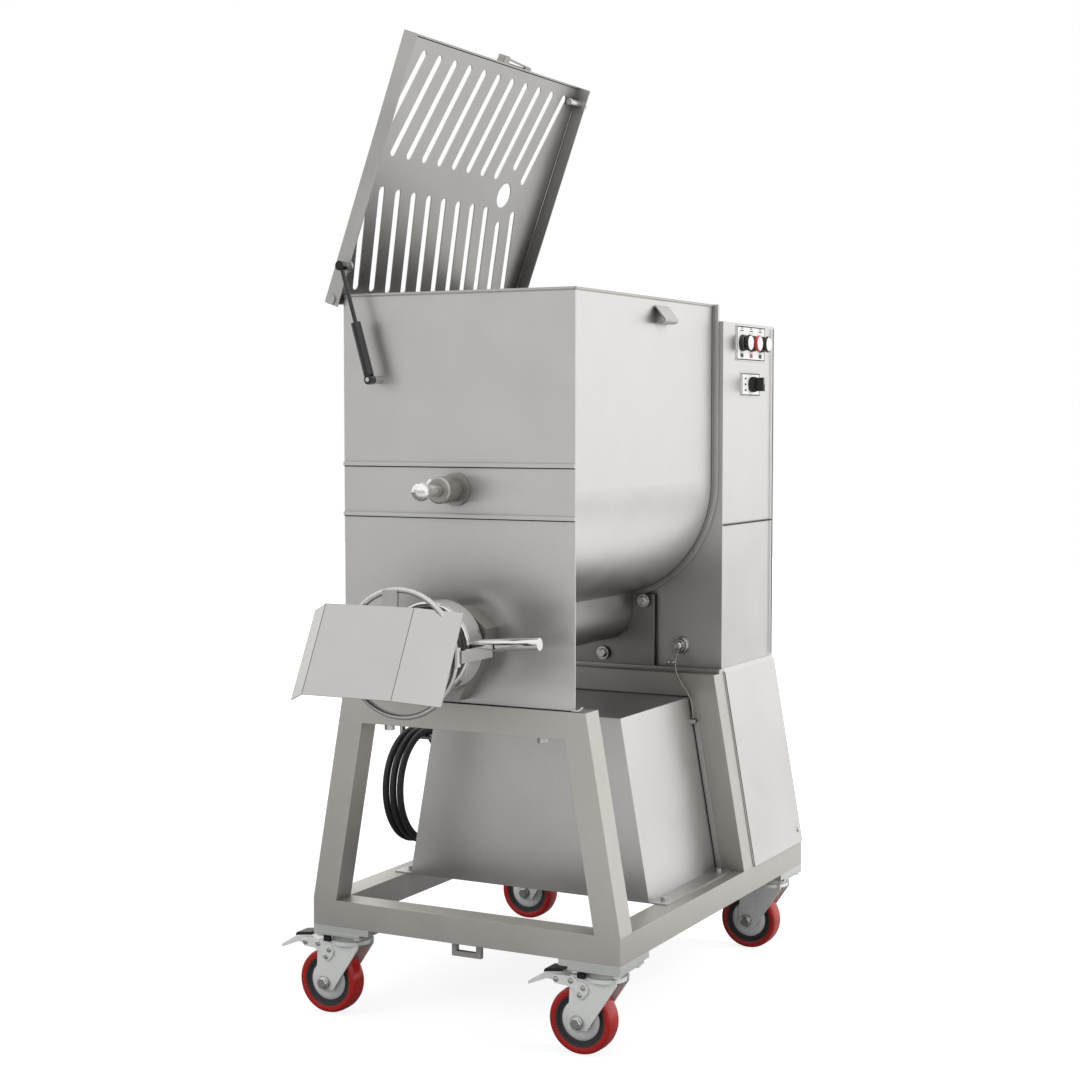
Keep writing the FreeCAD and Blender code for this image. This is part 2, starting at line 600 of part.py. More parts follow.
def caster_fork(name, x, y, braked):
    """Crown, king pin, two legs and the axle bolt with its nuts."""
    crown = cylinder(name + "_crown", "race_radius+2", "fork_crown", x, y, FORK_TOP + "-fork_crown")
    stem = cylinder(name + "_stem", "stem_radius", "race_height-gap", x, y, FORK_TOP + "-gap")
    axle_x = x + "-caster_trail"
    outline = [
        (axle_x + "-fork_foot", "wheel_radius-fork_drop"),
        (axle_x + "+fork_foot", "wheel_radius-fork_drop"),
        (x + "+fork_front", FORK_TOP + "-fork_shoulder"),
        (x + "+fork_front", FORK_TOP),
        (x + "-fork_back", FORK_TOP),
    ]
    inside = y + "+fork_gap/2"
    outside = y + "-fork_gap/2-fork_sheet"
    legs = [
        prism(name + "_leg_in", "XZ", inside, "fork_sheet", outline),
        prism(name + "_leg_out", "XZ", outside, "fork_sheet", outline),
    ]
    span = "fork_gap+2*fork_sheet"
    end = "(nut_height+bolt_end)"
    axle = cylinder(name + "_axle", "axle_radius", "%s+2*%s" % (span, end), axle_x, "%s-%s" % (outside, end),
                    "wheel_radius", "y")
    across = "axle_radius+nut_size"
    head = cylinder(name + "_head", across, "nut_height", axle_x, outside + "-nut_height", "wheel_radius",
                    "y")
    nut = cylinder(name + "_nut", across, "nut_height", axle_x, inside + "+fork_sheet", "wheel_radius", "y")
    solids = [crown, stem, axle, head, nut] + legs
    if braked:
        pin_x = x + "+" + PEDAL_PIVOT[0]
        solids.append(cylinder(name + "_pin", "pedal_pin", span, pin_x, outside, PEDAL_PIVOT[1], "y"))
    return fuse("caster_fork_" + name, *solids)


def caster_wheel(name, x, y):
    """Cast core with its hub, and the tread round it."""
    half = "wheel_width/2"
    hub = "(fork_gap/2-0.5)"
    web = "(wheel_width/2-9)"
    bore = "axle_radius+running_fit"
    right = [
        (bore, hub), ("hub_radius", hub), ("hub_radius", web), ("rim_radius-5", web),
        ("rim_radius", half + "-2"), ("rim_radius+6", half), ("wheel_radius-5", half),
        ("wheel_radius", half + "-8"),
    ]
    left = [(radius, "-(%s)" % width) for radius, width in reversed(right)]
    wheel = turned("caster_wheel_" + name, "y", right + left, x + "-caster_trail", "wheel_radius")
    return place(wheel, x + "-caster_trail", y, "wheel_radius")


def brake_pedal(name, x, y):
    """Pedal that swings down on the fork's cross pin."""
    px, pz = x + "+" + PEDAL_PIVOT[0], PEDAL_PIVOT[1]
    outline = [
        (px + "+pedal_plate*0.8", pz + "-pedal_plate/2"), (px + "+pedal_plate*0.8", pz + "+pedal_plate/2"),
        (px + "-pedal_plate", pz + "+pedal_plate*0.6"), (px + "-pedal_reach*0.3", pz + "+pedal_plate*1.4"),
        (px + "-pedal_reach*0.63", pz + "+pedal_plate"), (px + "-pedal_reach", pz + "-pedal_plate*1.2"),
        (px + "-pedal_reach", pz + "-pedal_plate*1.8"), (px + "-pedal_reach*0.6", pz + "-pedal_plate*0.2"),
        (px + "-pedal_plate*1.4", pz + "-pedal_plate*0.6"),
    ]
    plate = prism(name + "_lever", "XZ", y + "-pedal_width/2", "pedal_width", outline)
    bore = cylinder(name + "_lever_bore", "pedal_pin+running_fit", "pedal_width", px,
                    y + "-pedal_width/2", pz, "y")
    return cut("brake_pedal_" + name, plate, bore)


def build_casters():
    for front, side_y in (("front", -1), ("rear", 1)):
        for side, side_x in (("right", 1), ("left", -1)):
            name = "%s_%s" % (front, side)
            x = "(%d*caster_track/2)" % side_x
            y = "(%d*caster_base/2)" % side_y
            braked = front == "front"
            piece(caster_mount(name, x, y, side_x, side_y))
            piece(caster_fork(name, x, y, braked))
            piece(caster_wheel(name, x, y))
            if braked:
                piece(brake_pedal(name, x, y))


# Hopper: front panel, U-shaped trough, back plate, lid catch
def u_solid(label, radius, centre_z, top, start, length):
    """A solid with straight sides and a round bottom, along Y."""
    straight = box(label + "_straight", "2*(%s)" % radius, length, "%s-(%s)" % (top, centre_z),
                   "%s-(%s)" % (CENTRE, radius), start, centre_z)
    rounded = cylinder(label + "_round", radius, length, CENTRE, start, centre_z, "y")
    return fuse(label, straight, rounded)


def front_panel():
    """Flat panel with two folded seams, a shaft hole, a worm hole and the strut's stud."""
    left = "(%s-hopper_radius)" % CENTRE
    width = "2*hopper_radius"
    sheet_part = box("panel_sheet_part", width, "panel_sheet", "rim_height-frame_height",
                     left, "panel_front", "frame_height")
    seams = []
    for name in ("seam_upper", "seam_lower"):
        seams.append(box(name + "_fold", width, "seam_proud", "seam_height", left,
                         "panel_front-seam_proud", name + "-seam_height/2"))
    reach = "(panel_front-strut_y+eye_length/2+3)"
    stud = cylinder("panel_stud", "stud_radius", reach, "strut_x", "strut_y-eye_length/2-3", "strut_z", "y")
    collar = cylinder("panel_stud_collar", "eye_radius-2", "panel_front-strut_y-eye_length/2-gap",
                      "strut_x", "strut_y+eye_length/2+gap", "strut_z", "y")
    shaft_hole = cylinder("panel_shaft_hole", "pin_radius+running_fit", "20", CENTRE,
                          "panel_front-5", "mixer_height", "y")
    worm_hole = cylinder("panel_worm_hole", "head_bore", "20", CENTRE, "panel_front-5", "feed_height", "y")
    whole = fuse("panel_whole", sheet_part, stud, collar, *seams)
    return cut("front_panel", whole, shaft_hole, worm_hole)


def hopper_trough():
    """Bent sheet with a slot over the welded worm channel and three hinge ears on the left wall."""
    length = "(hopper_back-%s)" % PANEL_BACK
    outer = u_solid("trough_outer", "hopper_radius", "mixer_height", "rim_height", PANEL_BACK, length)
    inner = u_solid("trough_inner", "(hopper_radius-hopper_sheet)", "mixer_height", "rim_height+1",
                    PANEL_BACK, length)
    shell = cut("trough_shell", outer, inner)
    slot = box("trough_slot", "feed_slot", length, "hopper_radius", "%s-feed_slot/2" % CENTRE, PANEL_BACK,
               "mixer_height-hopper_radius-1")
    slot_cut = cut("trough_open", shell, slot)
    wall_x = "(%s-hopper_radius)" % CENTRE
    round_end = "(pin_depth-lid_sheet-2*gap)"
    ears = []
    for name, place_y in (("front", PANEL_BACK), ("mid", "(panel_front+hopper_back)/2"),
                          ("back", "hopper_back-ear_width")):
        ears.append(box("ear_block_" + name, "%s-pin_x" % wall_x, "ear_width", "2*" + round_end, "pin_x",
                        place_y,
                        "pin_z-" + round_end))
        ears.append(cylinder("ear_round_" + name, round_end, "ear_width", "pin_x", place_y, "pin_z", "y"))
    rod = cylinder("ear_bore", "rod_radius", length, "pin_x", PANEL_BACK, "pin_z", "y")
    return cut("hopper_trough", fuse("trough_whole", slot_cut, worm_channel(), *ears), rod)


def hopper_back_plate():
    """Back plate that stands out round the trough, bored for the paddle shaft."""
    plate = u_solid("back_plate_solid", "(hopper_radius+rear_flange)", "mixer_height", "rim_height",
                    "hopper_back", "rear_plate")
    bore = cylinder("back_plate_bore", "shaft_radius+running_fit", "rear_plate+2", CENTRE, "hopper_back-1",
                    "mixer_height", "y")
    notch = cylinder("back_plate_notch", "rod_radius+gap", "rear_plate+2", "pin_x", "hopper_back-1",
                     "pin_z", "y")
    return cut("hopper_back_plate", plate, bore, notch)


def lid_catch():
    """Wedge on the right wall that the lid latch snaps over."""
    x = "(%s+hopper_radius)" % CENTRE
    top = "(rim_height-catch_drop)"
    outline = [
        (x, top + "-catch_height"), (x + "+catch_depth", top + "-catch_height/2-catch_nose/2"),
        (x + "+catch_depth", top + "-catch_height/2+catch_nose/2"), (x, top),
    ]
    return prism("lid_catch", "XZ", "catch_y-catch_length/2", "catch_length", outline)


def worm_channel():
    """U-shaped channel under the hopper, cut to the round of the hopper."""
    length = "(hopper_back-%s)" % PANEL_BACK
    outer = u_solid("channel_outer", "trough_radius", "trough_height", "mixer_height", PANEL_BACK, length)
    inner = u_solid("channel_inner", "(trough_radius-trough_sheet)", "trough_height", "mixer_height+1",
                    PANEL_BACK, length)
    round_cut = cylinder("channel_round", "hopper_radius", length, CENTRE, PANEL_BACK, "mixer_height", "y")
    return cut("worm_channel", outer, inner, round_cut)


def trough_support():
    """Plate on the cabinet's ledge with a round cut-out under the worm trough, and its two bolts."""
    foot = "(frame_height+ledge_height)"
    start = "(hopper_back-support_sheet)"
    plate = box("support_blank", "support_width", "support_sheet", "support_height-%s" % foot,
                "%s-support_width/2" % CENTRE, start, foot)
    opening = u_solid("support_opening", "(trough_radius+gap)", "trough_height", "mixer_height",
                      start + "-1", "(support_sheet+2)")
    bolts = []
    for name, x, z in (("upper", CENTRE + "+support_width/2-bolt_inset", "support_height-bolt_drop"),
                       ("lower", CENTRE, foot + "+bolt_inset")):
        bolts.append(cylinder("support_bolt_" + name, "support_bolt", "bolt_height", x,
                              start + "-bolt_height", z, "y"))
    bowl = cylinder("support_bowl", "hopper_radius+gap", "support_sheet+2", CENTRE, start + "-1",
                    "mixer_height", "y")
    return fuse("trough_support", cut("support_plate", plate, opening, bowl), *bolts)


def build_hopper():
    for make in (front_panel, hopper_trough, hopper_back_plate, lid_catch, trough_support):
        piece(make())


# Drive cabinet, its lower side sheets, and the housing between the frames
def cabinet_body():
    """Front wall, side sheets, top and the ledge on the middle frame."""
    side_z = "(frame_height+ledge_height)"
    height = "(cabinet_height-%s)" % side_z
    depth = "(cabinet_back-%s)" % WALL
    left = "-" + CABINET_HALF
    ledge = box("cabinet_ledge", "top_width", "ledge_depth+cabinet_sheet", "ledge_height", "-" + TOP_HALF,
                WALL + "-ledge_depth", "frame_height")
    wall = box("cabinet_wall", "cabinet_width", "cabinet_sheet", height, left, WALL, side_z)
    top = box("cabinet_lid", "cabinet_width", depth, "cabinet_sheet", left, WALL,
              "cabinet_height-cabinet_sheet")
    right_side = box("cabinet_right", "cabinet_sheet", depth, height, CABINET_HALF + "-cabinet_sheet", WALL,
                     side_z)
    left_side = box("cabinet_left", "cabinet_sheet", depth, height, left, WALL, side_z)
    holes = []
    for name, z, radius in (("mixer", "mixer_height", "shaft_radius"), ("worm", "feed_height", "worm_core")):
        holes.append(cylinder("cabinet_hole_" + name, radius + "+running_fit", "cabinet_sheet+2", CENTRE,
                              WALL + "-1", z, "y"))
    return cut("cabinet_body", fuse("cabinet_sheets", ledge, wall, top, right_side, left_side), *holes)


def rear_cover():
    """One sheet over the back of the cabinet and the back frame."""
    outline = mirrored([(HALF, KNEE), (TOP_HALF, "frame_height"), (CABINET_HALF, "frame_height+ledge_height"),
                        (CABINET_HALF, "cabinet_height")])
    return prism("rear_cover", "XZ", "cabinet_back", "cabinet_sheet", outline)


def side_skirt(side, sign):
    """Sloping sheet over the legs beside the cabinet's foot."""
    outline = [
        ("%d*%s" % (sign, HALF), KNEE), ("%d*(%s+cabinet_sheet)" % (sign, HALF), KNEE),
        ("%d*(%s+cabinet_sheet)" % (sign, TOP_HALF), "frame_height"),
        ("%d*%s" % (sign, CABINET_HALF), "frame_height+ledge_height-gap"),
        ("%d*(%s-cabinet_sheet)" % (sign, CABINET_HALF), "frame_height+ledge_height-gap"),
        ("%d*%s" % (sign, TOP_HALF), "frame_height"),
    ]
    return prism("side_skirt_" + side, "XZ", "skirt_front", "(cabinet_back-skirt_front)", outline)


def lower_housing():
    """Five-sided sheet box between the frames, with a foot flange on each rail."""
    length = "(middle_frame_y-housing_front)"
    sheet_name = "housing_sheet"
    def outline(inset, roof):
        low, high = "housing_bottom/2-" + inset, "housing_top/2-" + inset
        return mirrored([(low, KNEE), (high, "housing_height-" + roof)])
    outer = prism("housing_outer", "XZ", "housing_front", length, outline("0", "0"))
    inner = prism("housing_inner", "XZ", "housing_front+" + sheet_name, "(%s-2*%s)" % (length, sheet_name),
                  outline(sheet_name, sheet_name))
    flanges = []
    for side, x in (("right", "housing_bottom/2-" + sheet_name),
                    ("left", "-housing_bottom/2-housing_flange+" + sheet_name)):
        flanges.append(box("housing_flange_" + side, "housing_flange", length, sheet_name, x,
                           "housing_front", KNEE))
        for end, y in (("front", "housing_front+bolt_spacing"), ("back", "middle_frame_y-bolt_spacing")):
            bolt_x = x + "+housing_flange/2"
            flanges.append(cylinder("housing_bolt_%s_%s" % (side, end), "flange_bolt", "bolt_height",
                                    bolt_x, y,
                                    KNEE + "+" + sheet_name))
    return fuse("lower_housing", cut("housing_shell", outer, inner), cord_hook(), chain_anchor(), *flanges)


def build_cabinet():
    piece(cabinet_body())
    piece(rear_cover())
    piece(side_skirt("right", 1))
    piece(side_skirt("left", -1))
    piece(lower_housing())


# Grinder head with plate, knife, worm, ring nut and discharge guard
PLATE_FRONT = "(%s-plate_proud)" % HEAD_FRONT
PLATE_BACK = "(%s+plate_thickness)" % PLATE_FRONT
KNIFE_BACK = "(%s+gap+knife_thickness)" % PLATE_BACK
NUT_FRONT = "(%s-gap-nut_lip)" % PLATE_FRONT


def grinder_head():
    """Angular flange on the panel and a round end for the ring nut, bored through."""
    def around(points):
        right = [("%s+(%s)" % (CENTRE, x), "feed_height+(%s)" % z) for x, z in points]
        left = [("%s-(%s)" % (CENTRE, x), "feed_height+(%s)" % z) for x, z in reversed(points)]
        return right + left
    radius = "(head_bore+head_wall)"
    corners = [("0.45*" + radius, "-feed_height+frame_height+11"), ("1.35*" + radius, "-0.16*" + radius),
               ("1.4*" + radius, "0.54*" + radius), ("0.66*" + radius, "1.13*" + radius)]
    flange = prism("head_flange_block", "XZ", "(panel_front-head_flange)", "head_flange", around(corners))
    barrel = cylinder("head_barrel", radius, "head_reach", CENTRE, HEAD_FRONT, "feed_height", "y")
    bore = cylinder("head_hole", "head_bore", "head_reach+2", CENTRE, HEAD_FRONT + "-1", "feed_height", "y")
    return cut("grinder_head", fuse("head_casting", flange, barrel), bore)


def grinding_plate():
    """Perforated plate in the end of the head, with three rings of holes and a pilot hole."""
    body = doc.addObject("PartDesign::Body", "grinding_plate")
    blank = plane_sketch(body, "XZ_Plane", "plate_blank")
    blank.addGeometry(Part.Circle(Vector(), Vector(0, 0, 1), number("head_bore-gap")))
    blank.addConstraint(Sketcher.Constraint("Coincident", 0, 3, -1, 1))
    rim = blank.addConstraint(Sketcher.Constraint("Radius", 0, number("head_bore-gap")))
    blank.setExpression("Constraints[%d]" % rim, formula("head_bore-gap"))
    pad = body.newObject("PartDesign::Pad", "plate_pad")
    pad.Profile = blank
    bind(pad, Length="plate_thickness")
    doc.recompute()
    for name, share, count in (("pilot", "0", 1), ("inner", "0.36", 8), ("middle", "0.6", 14),
                               ("outer", "0.83", 20)):
        ring = plane_sketch(body, "XZ_Plane", "plate_%s_ring" % name)
        reach = "(head_bore-gap)*" + share
        ring.addGeometry(Part.Circle(Vector(number(reach), 0, 0), Vector(0, 0, 1), number("plate_hole")))
        fix_point(ring, 0, 3, (reach, "0"))
        size = ring.addConstraint(Sketcher.Constraint("Radius", 0, number("plate_hole")))
        ring.setExpression("Constraints[%d]" % size, formula("plate_hole"))
        pocket = body.newObject("PartDesign::Pocket", "plate_%s_hole" % name)
        pocket.Profile = ring
        pocket.Type = "ThroughAll"
        pocket.Midplane = True
        doc.recompute()
        if count > 1:
            pattern = body.newObject("PartDesign::PolarPattern", "plate_%s_holes" % name)
            pattern.Originals = [pocket]
            pattern.Axis = (ring, ["N_Axis"])
            pattern.Angle = 360
            pattern.Occurrences = count
            body.Tip = pattern
            doc.recompute()
    return place(body, CENTRE, PLATE_BACK, "feed_height")


def knife():
    """Four-bladed knife behind the plate, on the worm's nose."""
    start = "(%s+gap)" % PLATE_BACK
    blades = [
        box("knife_level", "2*knife_reach", "knife_thickness", "knife_blade", CENTRE + "-knife_reach", start,
            "feed_height-knife_blade/2"),
        box("knife_upright", "knife_blade", "knife_thickness", "2*knife_reach", CENTRE + "-knife_blade/2",
            start,
            "feed_height-knife_reach"),
    ]
    hub = cylinder("knife_hub", "worm_core", "knife_thickness", CENTRE, start, "feed_height", "y")
    return fuse("knife", hub, *blades)


def feed_worm():
    """Core with a helical flight, and the drive end that goes into its gearbox."""
    start = number(KNIFE_BACK)
    flight_end = number("hopper_back-gap")
    back = number(WALL + "+gearbox_depth/2")
    core_radius, outer = number("worm_core"), number("worm_radius")
    half = number("flight_thickness/2")
    core = Part.makeCylinder(core_radius, back - start, Vector(0, start, 0), Vector(0, 1, 0))
    turns_length = flight_end - start - 4 * half
    path = Part.makeHelix(number("worm_pitch"), turns_length, (core_radius + outer) / 2)
    corners = [Vector(core_radius - 2, 0, -half), Vector(outer, 0, -half), Vector(outer, 0, half),
               Vector(core_radius - 2, 0, half)]
    section = Part.makePolygon(corners + corners[:1])
    flight = Part.Wire(path.Edges).makePipeShell([section], True, True)
    flight.Placement = Placement(Vector(0, start + 2 * half, 0), TURNS["y"])
    worm = doc.addObject("Part::Feature", "feed_worm")
    worm.Shape = core.fuse(flight)
    return place(worm, CENTRE, "0", "feed_height")


def ring_nut():
    """Nut over the plate with its handle bar and the arm that carries the guard's hinge sleeve."""
    back = "(%s+nut_length)" % NUT_FRONT
    seat = "(head_bore+head_wall+running_fit)"
    lip = "(%s+nut_lip)" % NUT_FRONT
    profile = [
        ("nut_mouth+nut_edge", NUT_FRONT), ("nut_radius-nut_edge", NUT_FRONT),
        ("nut_radius", NUT_FRONT + "+nut_edge"),
        ("nut_radius", back + "-nut_edge"), ("nut_radius-nut_edge", back), (seat, back), (seat, lip),
        ("nut_mouth", lip),
        ("nut_mouth", NUT_FRONT + "+nut_edge"),
    ]
    nut = turned("nut_ring", "y", profile, CENTRE, "feed_height")
    handle = cylinder("nut_handle", "handle_radius", "handle_reach-nut_radius+arm_root", "0", "0", "0", "x")
    handle.Placement = Placement(Vector(), Rotation(Vector(0, 1, 0), 90 - number("handle_tilt")))
    bind(handle, **{"Placement.Rotation.Angle": "90-handle_tilt"})
    root = "(nut_radius-arm_root)"
    place(handle, "%s+%s*cos(handle_tilt)" % (CENTRE, root), "%s+nut_length/2" % NUT_FRONT,
          "feed_height+%s*sin(handle_tilt)" % root)
    sleeve_x = "(%s+guard_ring)" % CENTRE
    sleeve = cylinder("nut_sleeve", "sleeve_radius", "sleeve_length", sleeve_x, "guard_y",
                      "feed_height-sleeve_length/2")
    arm_x = "(%s+sleeve_radius-arm_sheet/2)" % sleeve_x
    foot_x = "(%s+nut_radius-arm_root)" % CENTRE
    foot_y = "(%s+nut_edge)" % NUT_FRONT
    level = "feed_height-arm_height/2"
    arm = box("nut_arm", "arm_sheet", "%s+arm_root-guard_y" % foot_y, "arm_height", arm_x, "guard_y", level)
    foot = box("nut_arm_foot", "%s+arm_sheet-%s" % (arm_x, foot_x), "arm_root", "arm_height", foot_x,
               foot_y, level)
    whole = fuse("nut_whole", nut, handle, sleeve, arm, foot)
    sag = "(sleeve_length*sleeve_length/8/guard_ring)"
    bore = cylinder("nut_sleeve_bore", "guard_bar+%s+running_fit" % sag, "sleeve_length+2", sleeve_x,
                    "guard_y",
                    "feed_height-sleeve_length/2-1")
    return cut("ring_nut", whole, bore)


def discharge_guard():
    """Bar ring, a deflector that leans forward with its ends turned back, and the strap between them."""
    ring = doc.addObject("Part::Torus", "guard_hoop")
    bind(ring, Radius1="guard_ring", Radius2="guard_bar")
    ring.Placement = Placement(Vector(), TURNS["y"])
    place(ring, CENTRE, "guard_y", "feed_height")
    top_y = "(guard_y-guard_bar-guard_sheet)"
    outline = [
        ("guard_left-guard_lip", "guard_turn"), ("guard_left", "0"), ("guard_fold", "0"),
        ("guard_right", "guard_wing"),
        ("guard_right", "guard_wing+guard_sheet"), ("guard_fold", "guard_sheet"),
        ("guard_left", "guard_sheet"),
        ("guard_left-guard_lip", "guard_turn+guard_sheet"),
    ]
    profile = doc.addObject("Sketcher::SketchObject", "guard_profile")
    add_outline(profile, outline)
    lean = "atan(guard_lean/guard_drop)"
    profile.Placement = Placement(Vector(), Rotation(Vector(-1, 0, 0), number(lean)))
    bind(profile, **{"Placement.Rotation.Angle": lean})
    place(profile, "0", top_y, "guard_top")
    panel = doc.addObject("Part::Extrusion", "guard_panel")
    panel.Base = profile
    panel.DirMode = "Custom"
    panel.Dir = Vector(0, -number("guard_lean"), -number("guard_drop"))
    bind(panel, LengthFwd="sqrt(guard_lean*guard_lean+guard_drop*guard_drop)")
    bind(panel, **{"Dir.y": "-guard_lean", "Dir.z": "-guard_drop"})
    panel.Solid = True
    strap = box("guard_strap", "strap_width", "guard_bar+guard_sheet",
                "feed_height+guard_ring-guard_top+strap_lap",
                CENTRE + "-strap_offset-strap_width/2", top_y, "guard_top-strap_lap")
    return fuse("discharge_guard", ring, panel, strap)


def build_head():
    for make in (grinder_head, grinding_plate, knife, feed_worm, ring_nut, discharge_guard):
        piece(make())


# Paddle, its front bush and the pull-out bearing pin
def mixer_paddle():
    """Shaft with a socket for the front pin, four arms and four blades."""
    start = "(%s+shaft_gap)" % PANEL_BACK
    end = "(%s+gearbox_depth/2)" % WALL
    shaft = cylinder("paddle_shaft", "shaft_radius", "%s-%s" % (end, start), CENTRE, start, "mixer_height",
                     "y")
    solids = [shaft]
    run = "(hopper_back-%s)" % PANEL_BACK
    middle = "(paddle_reach-paddle_sheet/2)"
    for index, (share, turn) in enumerate(((0.16, 0), (0.39, 90), (0.62, 180), (0.85, 270))):
        y = "(%s+%s*%s)" % (PANEL_BACK, run, share)
        arm = cylinder("paddle_arm_%d" % index, "arm_radius", "paddle_reach-paddle_sheet", CENTRE, y,
                       "mixer_height", "z")
        arm.Placement = Placement(Vector(), Rotation(Vector(0, 1, 0), turn))
        place(arm, CENTRE, y, "mixer_height")
        up = "%s*%d" % (middle, round(math.cos(math.radians(turn))))
        across = "%s*%d" % (middle, round(math.sin(math.radians(turn))))
        level = turn in (0, 180)
        wide, tall = ("paddle_width", "paddle_sheet") if level else ("paddle_sheet", "paddle_width")
        blade = box("paddle_blade_%d" % index, wide, "paddle_blade", tall,
                    "%s+%s-(%s)/2" % (CENTRE, across, wide), y + "-paddle_blade/2",
                    "mixer_height+%s-(%s)/2" % (up, tall))
        solids += [arm, blade]
    socket = cylinder("paddle_socket", "pin_radius+running_fit", "socket_depth", CENTRE, start,
                      "mixer_height", "y")
    return cut("mixer_paddle", fuse("paddle_whole", *solids), socket)


def pin_bush():
    """Flanged bush on the front panel that guides the bearing pin."""
    bore = "pin_radius+running_fit"
    front = "(panel_front-bush_length)"
    profile = [
        (bore, front), ("bush_radius-bush_step", front), ("bush_radius", front + "+bush_step"),
        ("bush_radius", front + "+bush_collar"), ("bush_radius-bush_step", front + "+bush_collar+bush_step"),
        ("bush_radius-bush_step", "panel_front-bush_plate"), ("bush_flange", "panel_front-bush_plate"),
        ("bush_flange", "panel_front"), (bore, "panel_front"),
    ]
    return turned("pin_bush", "y", profile, CENTRE, "mixer_height")


def bearing_pin():
    """Pin into the paddle shaft with a neck, a ball to pull it by and a cross pin."""
    ball_y = "(panel_front-ball_reach)"
    end = "(%s+shaft_gap+pin_grip)" % PANEL_BACK
    shaft = cylinder("pin_shaft", "pin_radius", "%s-%s" % (end, ball_y), CENTRE, ball_y, "mixer_height", "y")
    ball = doc.addObject("Part::Sphere", "pin_ball")
    bind(ball, Radius="ball_radius")
    place(ball, CENTRE, ball_y, "mixer_height")
    cross = cylinder("pin_cross", "cross_radius", "ball_radius+cross_reach", CENTRE, ball_y, "mixer_height")
    cross.Placement = Placement(Vector(), Rotation(Vector(-1, 1, 0), number("cross_tilt")))
    bind(cross, **{"Placement.Rotation.Angle": "cross_tilt"})
    place(cross, CENTRE, ball_y, "mixer_height")
    return fuse("bearing_pin", shaft, ball, cross)


def build_paddle():
    for make in (mixer_paddle, pin_bush, bearing_pin):
        piece(make())


# Lid with chevron slots, its hinge rod, latch, sensor pin and gas strut
LID_TURN = Rotation(Vector(0, -1, 0), number("lid_open"))
LID_X = "(pin_x-pin_inset*cos(lid_open)-pin_depth*sin(lid_open))"
LID_Z = "(pin_z-pin_inset*sin(lid_open)+pin_depth*cos(lid_open))"
STUD_X = "(pin_x+stud_along*cos(lid_open)+stud_depth*sin(lid_open))"
STUD_Z = "(pin_z+stud_along*sin(lid_open)-stud_depth*cos(lid_open))"


def on_lid(item):
    """Put an object that was modelled on the flat lid on the open lid."""
    item.Placement = Placement(Vector(), LID_TURN)
    bind(item, **{"Placement.Rotation.Angle": "lid_open"})
    return place(item, LID_X, "0", LID_Z)


def slot_sketch(body, name, first, last):
    """A slot with round ends between two centres given as formulas."""
    sketch = plane_sketch(body, "XY_Plane", name)
    a = Vector(number(first[0]), number(first[1]), 0)
    b = Vector(number(last[0]), number(last[1]), 0)
    radius = number("slot_width/2")
    along = math.atan2(b.y - a.y, b.x - a.x)
    side = Vector(-math.sin(along), math.cos(along), 0) * radius
    normal = Vector(0, 0, 1)
    quarter = math.pi / 2
    sketch.addGeometry(Part.ArcOfCircle(Part.Circle(a, normal, radius), along + quarter, along + 3 * quarter))
    sketch.addGeometry(Part.LineSegment(a - side, b - side))
    sketch.addGeometry(Part.ArcOfCircle(Part.Circle(b, normal, radius), along - quarter, along + quarter))
    sketch.addGeometry(Part.LineSegment(b + side, a + side))
    for index in range(4):
        sketch.addConstraint(Sketcher.Constraint("Tangent", index, 2, (index + 1) % 4, 1))
    sketch.addConstraint(Sketcher.Constraint("Equal", 0, 2))
    size = sketch.addConstraint(Sketcher.Constraint("Radius", 0, radius))
    sketch.setExpression("Constraints[%d]" % size, formula("slot_width/2"))
    fix_point(sketch, 0, 3, first)
    fix_point(sketch, 2, 3, last)
    return sketch


def slot_row(body, name, outer, inner, shorter):
    """A row of eleven slanted slots. The tenth stops short of the fill hole."""
    last = "slot_first+%d*slot_pitch"
    for group, index, count, trim in (("run", 0, 9, "0"), ("short", 9, 1, shorter), ("end", 10, 1, "0")):
        y = "(" + last % index + ")"
        share = "(%s)/(%s-(%s))" % (trim, outer, inner)
        begin = (outer, y)
        finish = ("(%s)+(%s)" % (inner, trim), "%s-slot_skew*(1-%s)" % (y, share))
        pocket = body.newObject("PartDesign::Pocket", "%s_%s_cut" % (name, group))
        pocket.Profile = slot_sketch(body, "%s_%s_slot" % (name, group), begin, finish)
        pocket.Type = "ThroughAll"
        pocket.Midplane = True
        doc.recompute()
        if count > 1:
            pattern = body.newObject("PartDesign::LinearPattern", "%s_%s_pattern" % (name, group))
            pattern.Originals = [pocket]
            pattern.Direction = (pocket.Profile[0], ["V_Axis"])
            bind(pattern, Length="%d*slot_pitch" % (count - 1))
            pattern.Occurrences = count
            body.Tip = pattern
            doc.recompute()


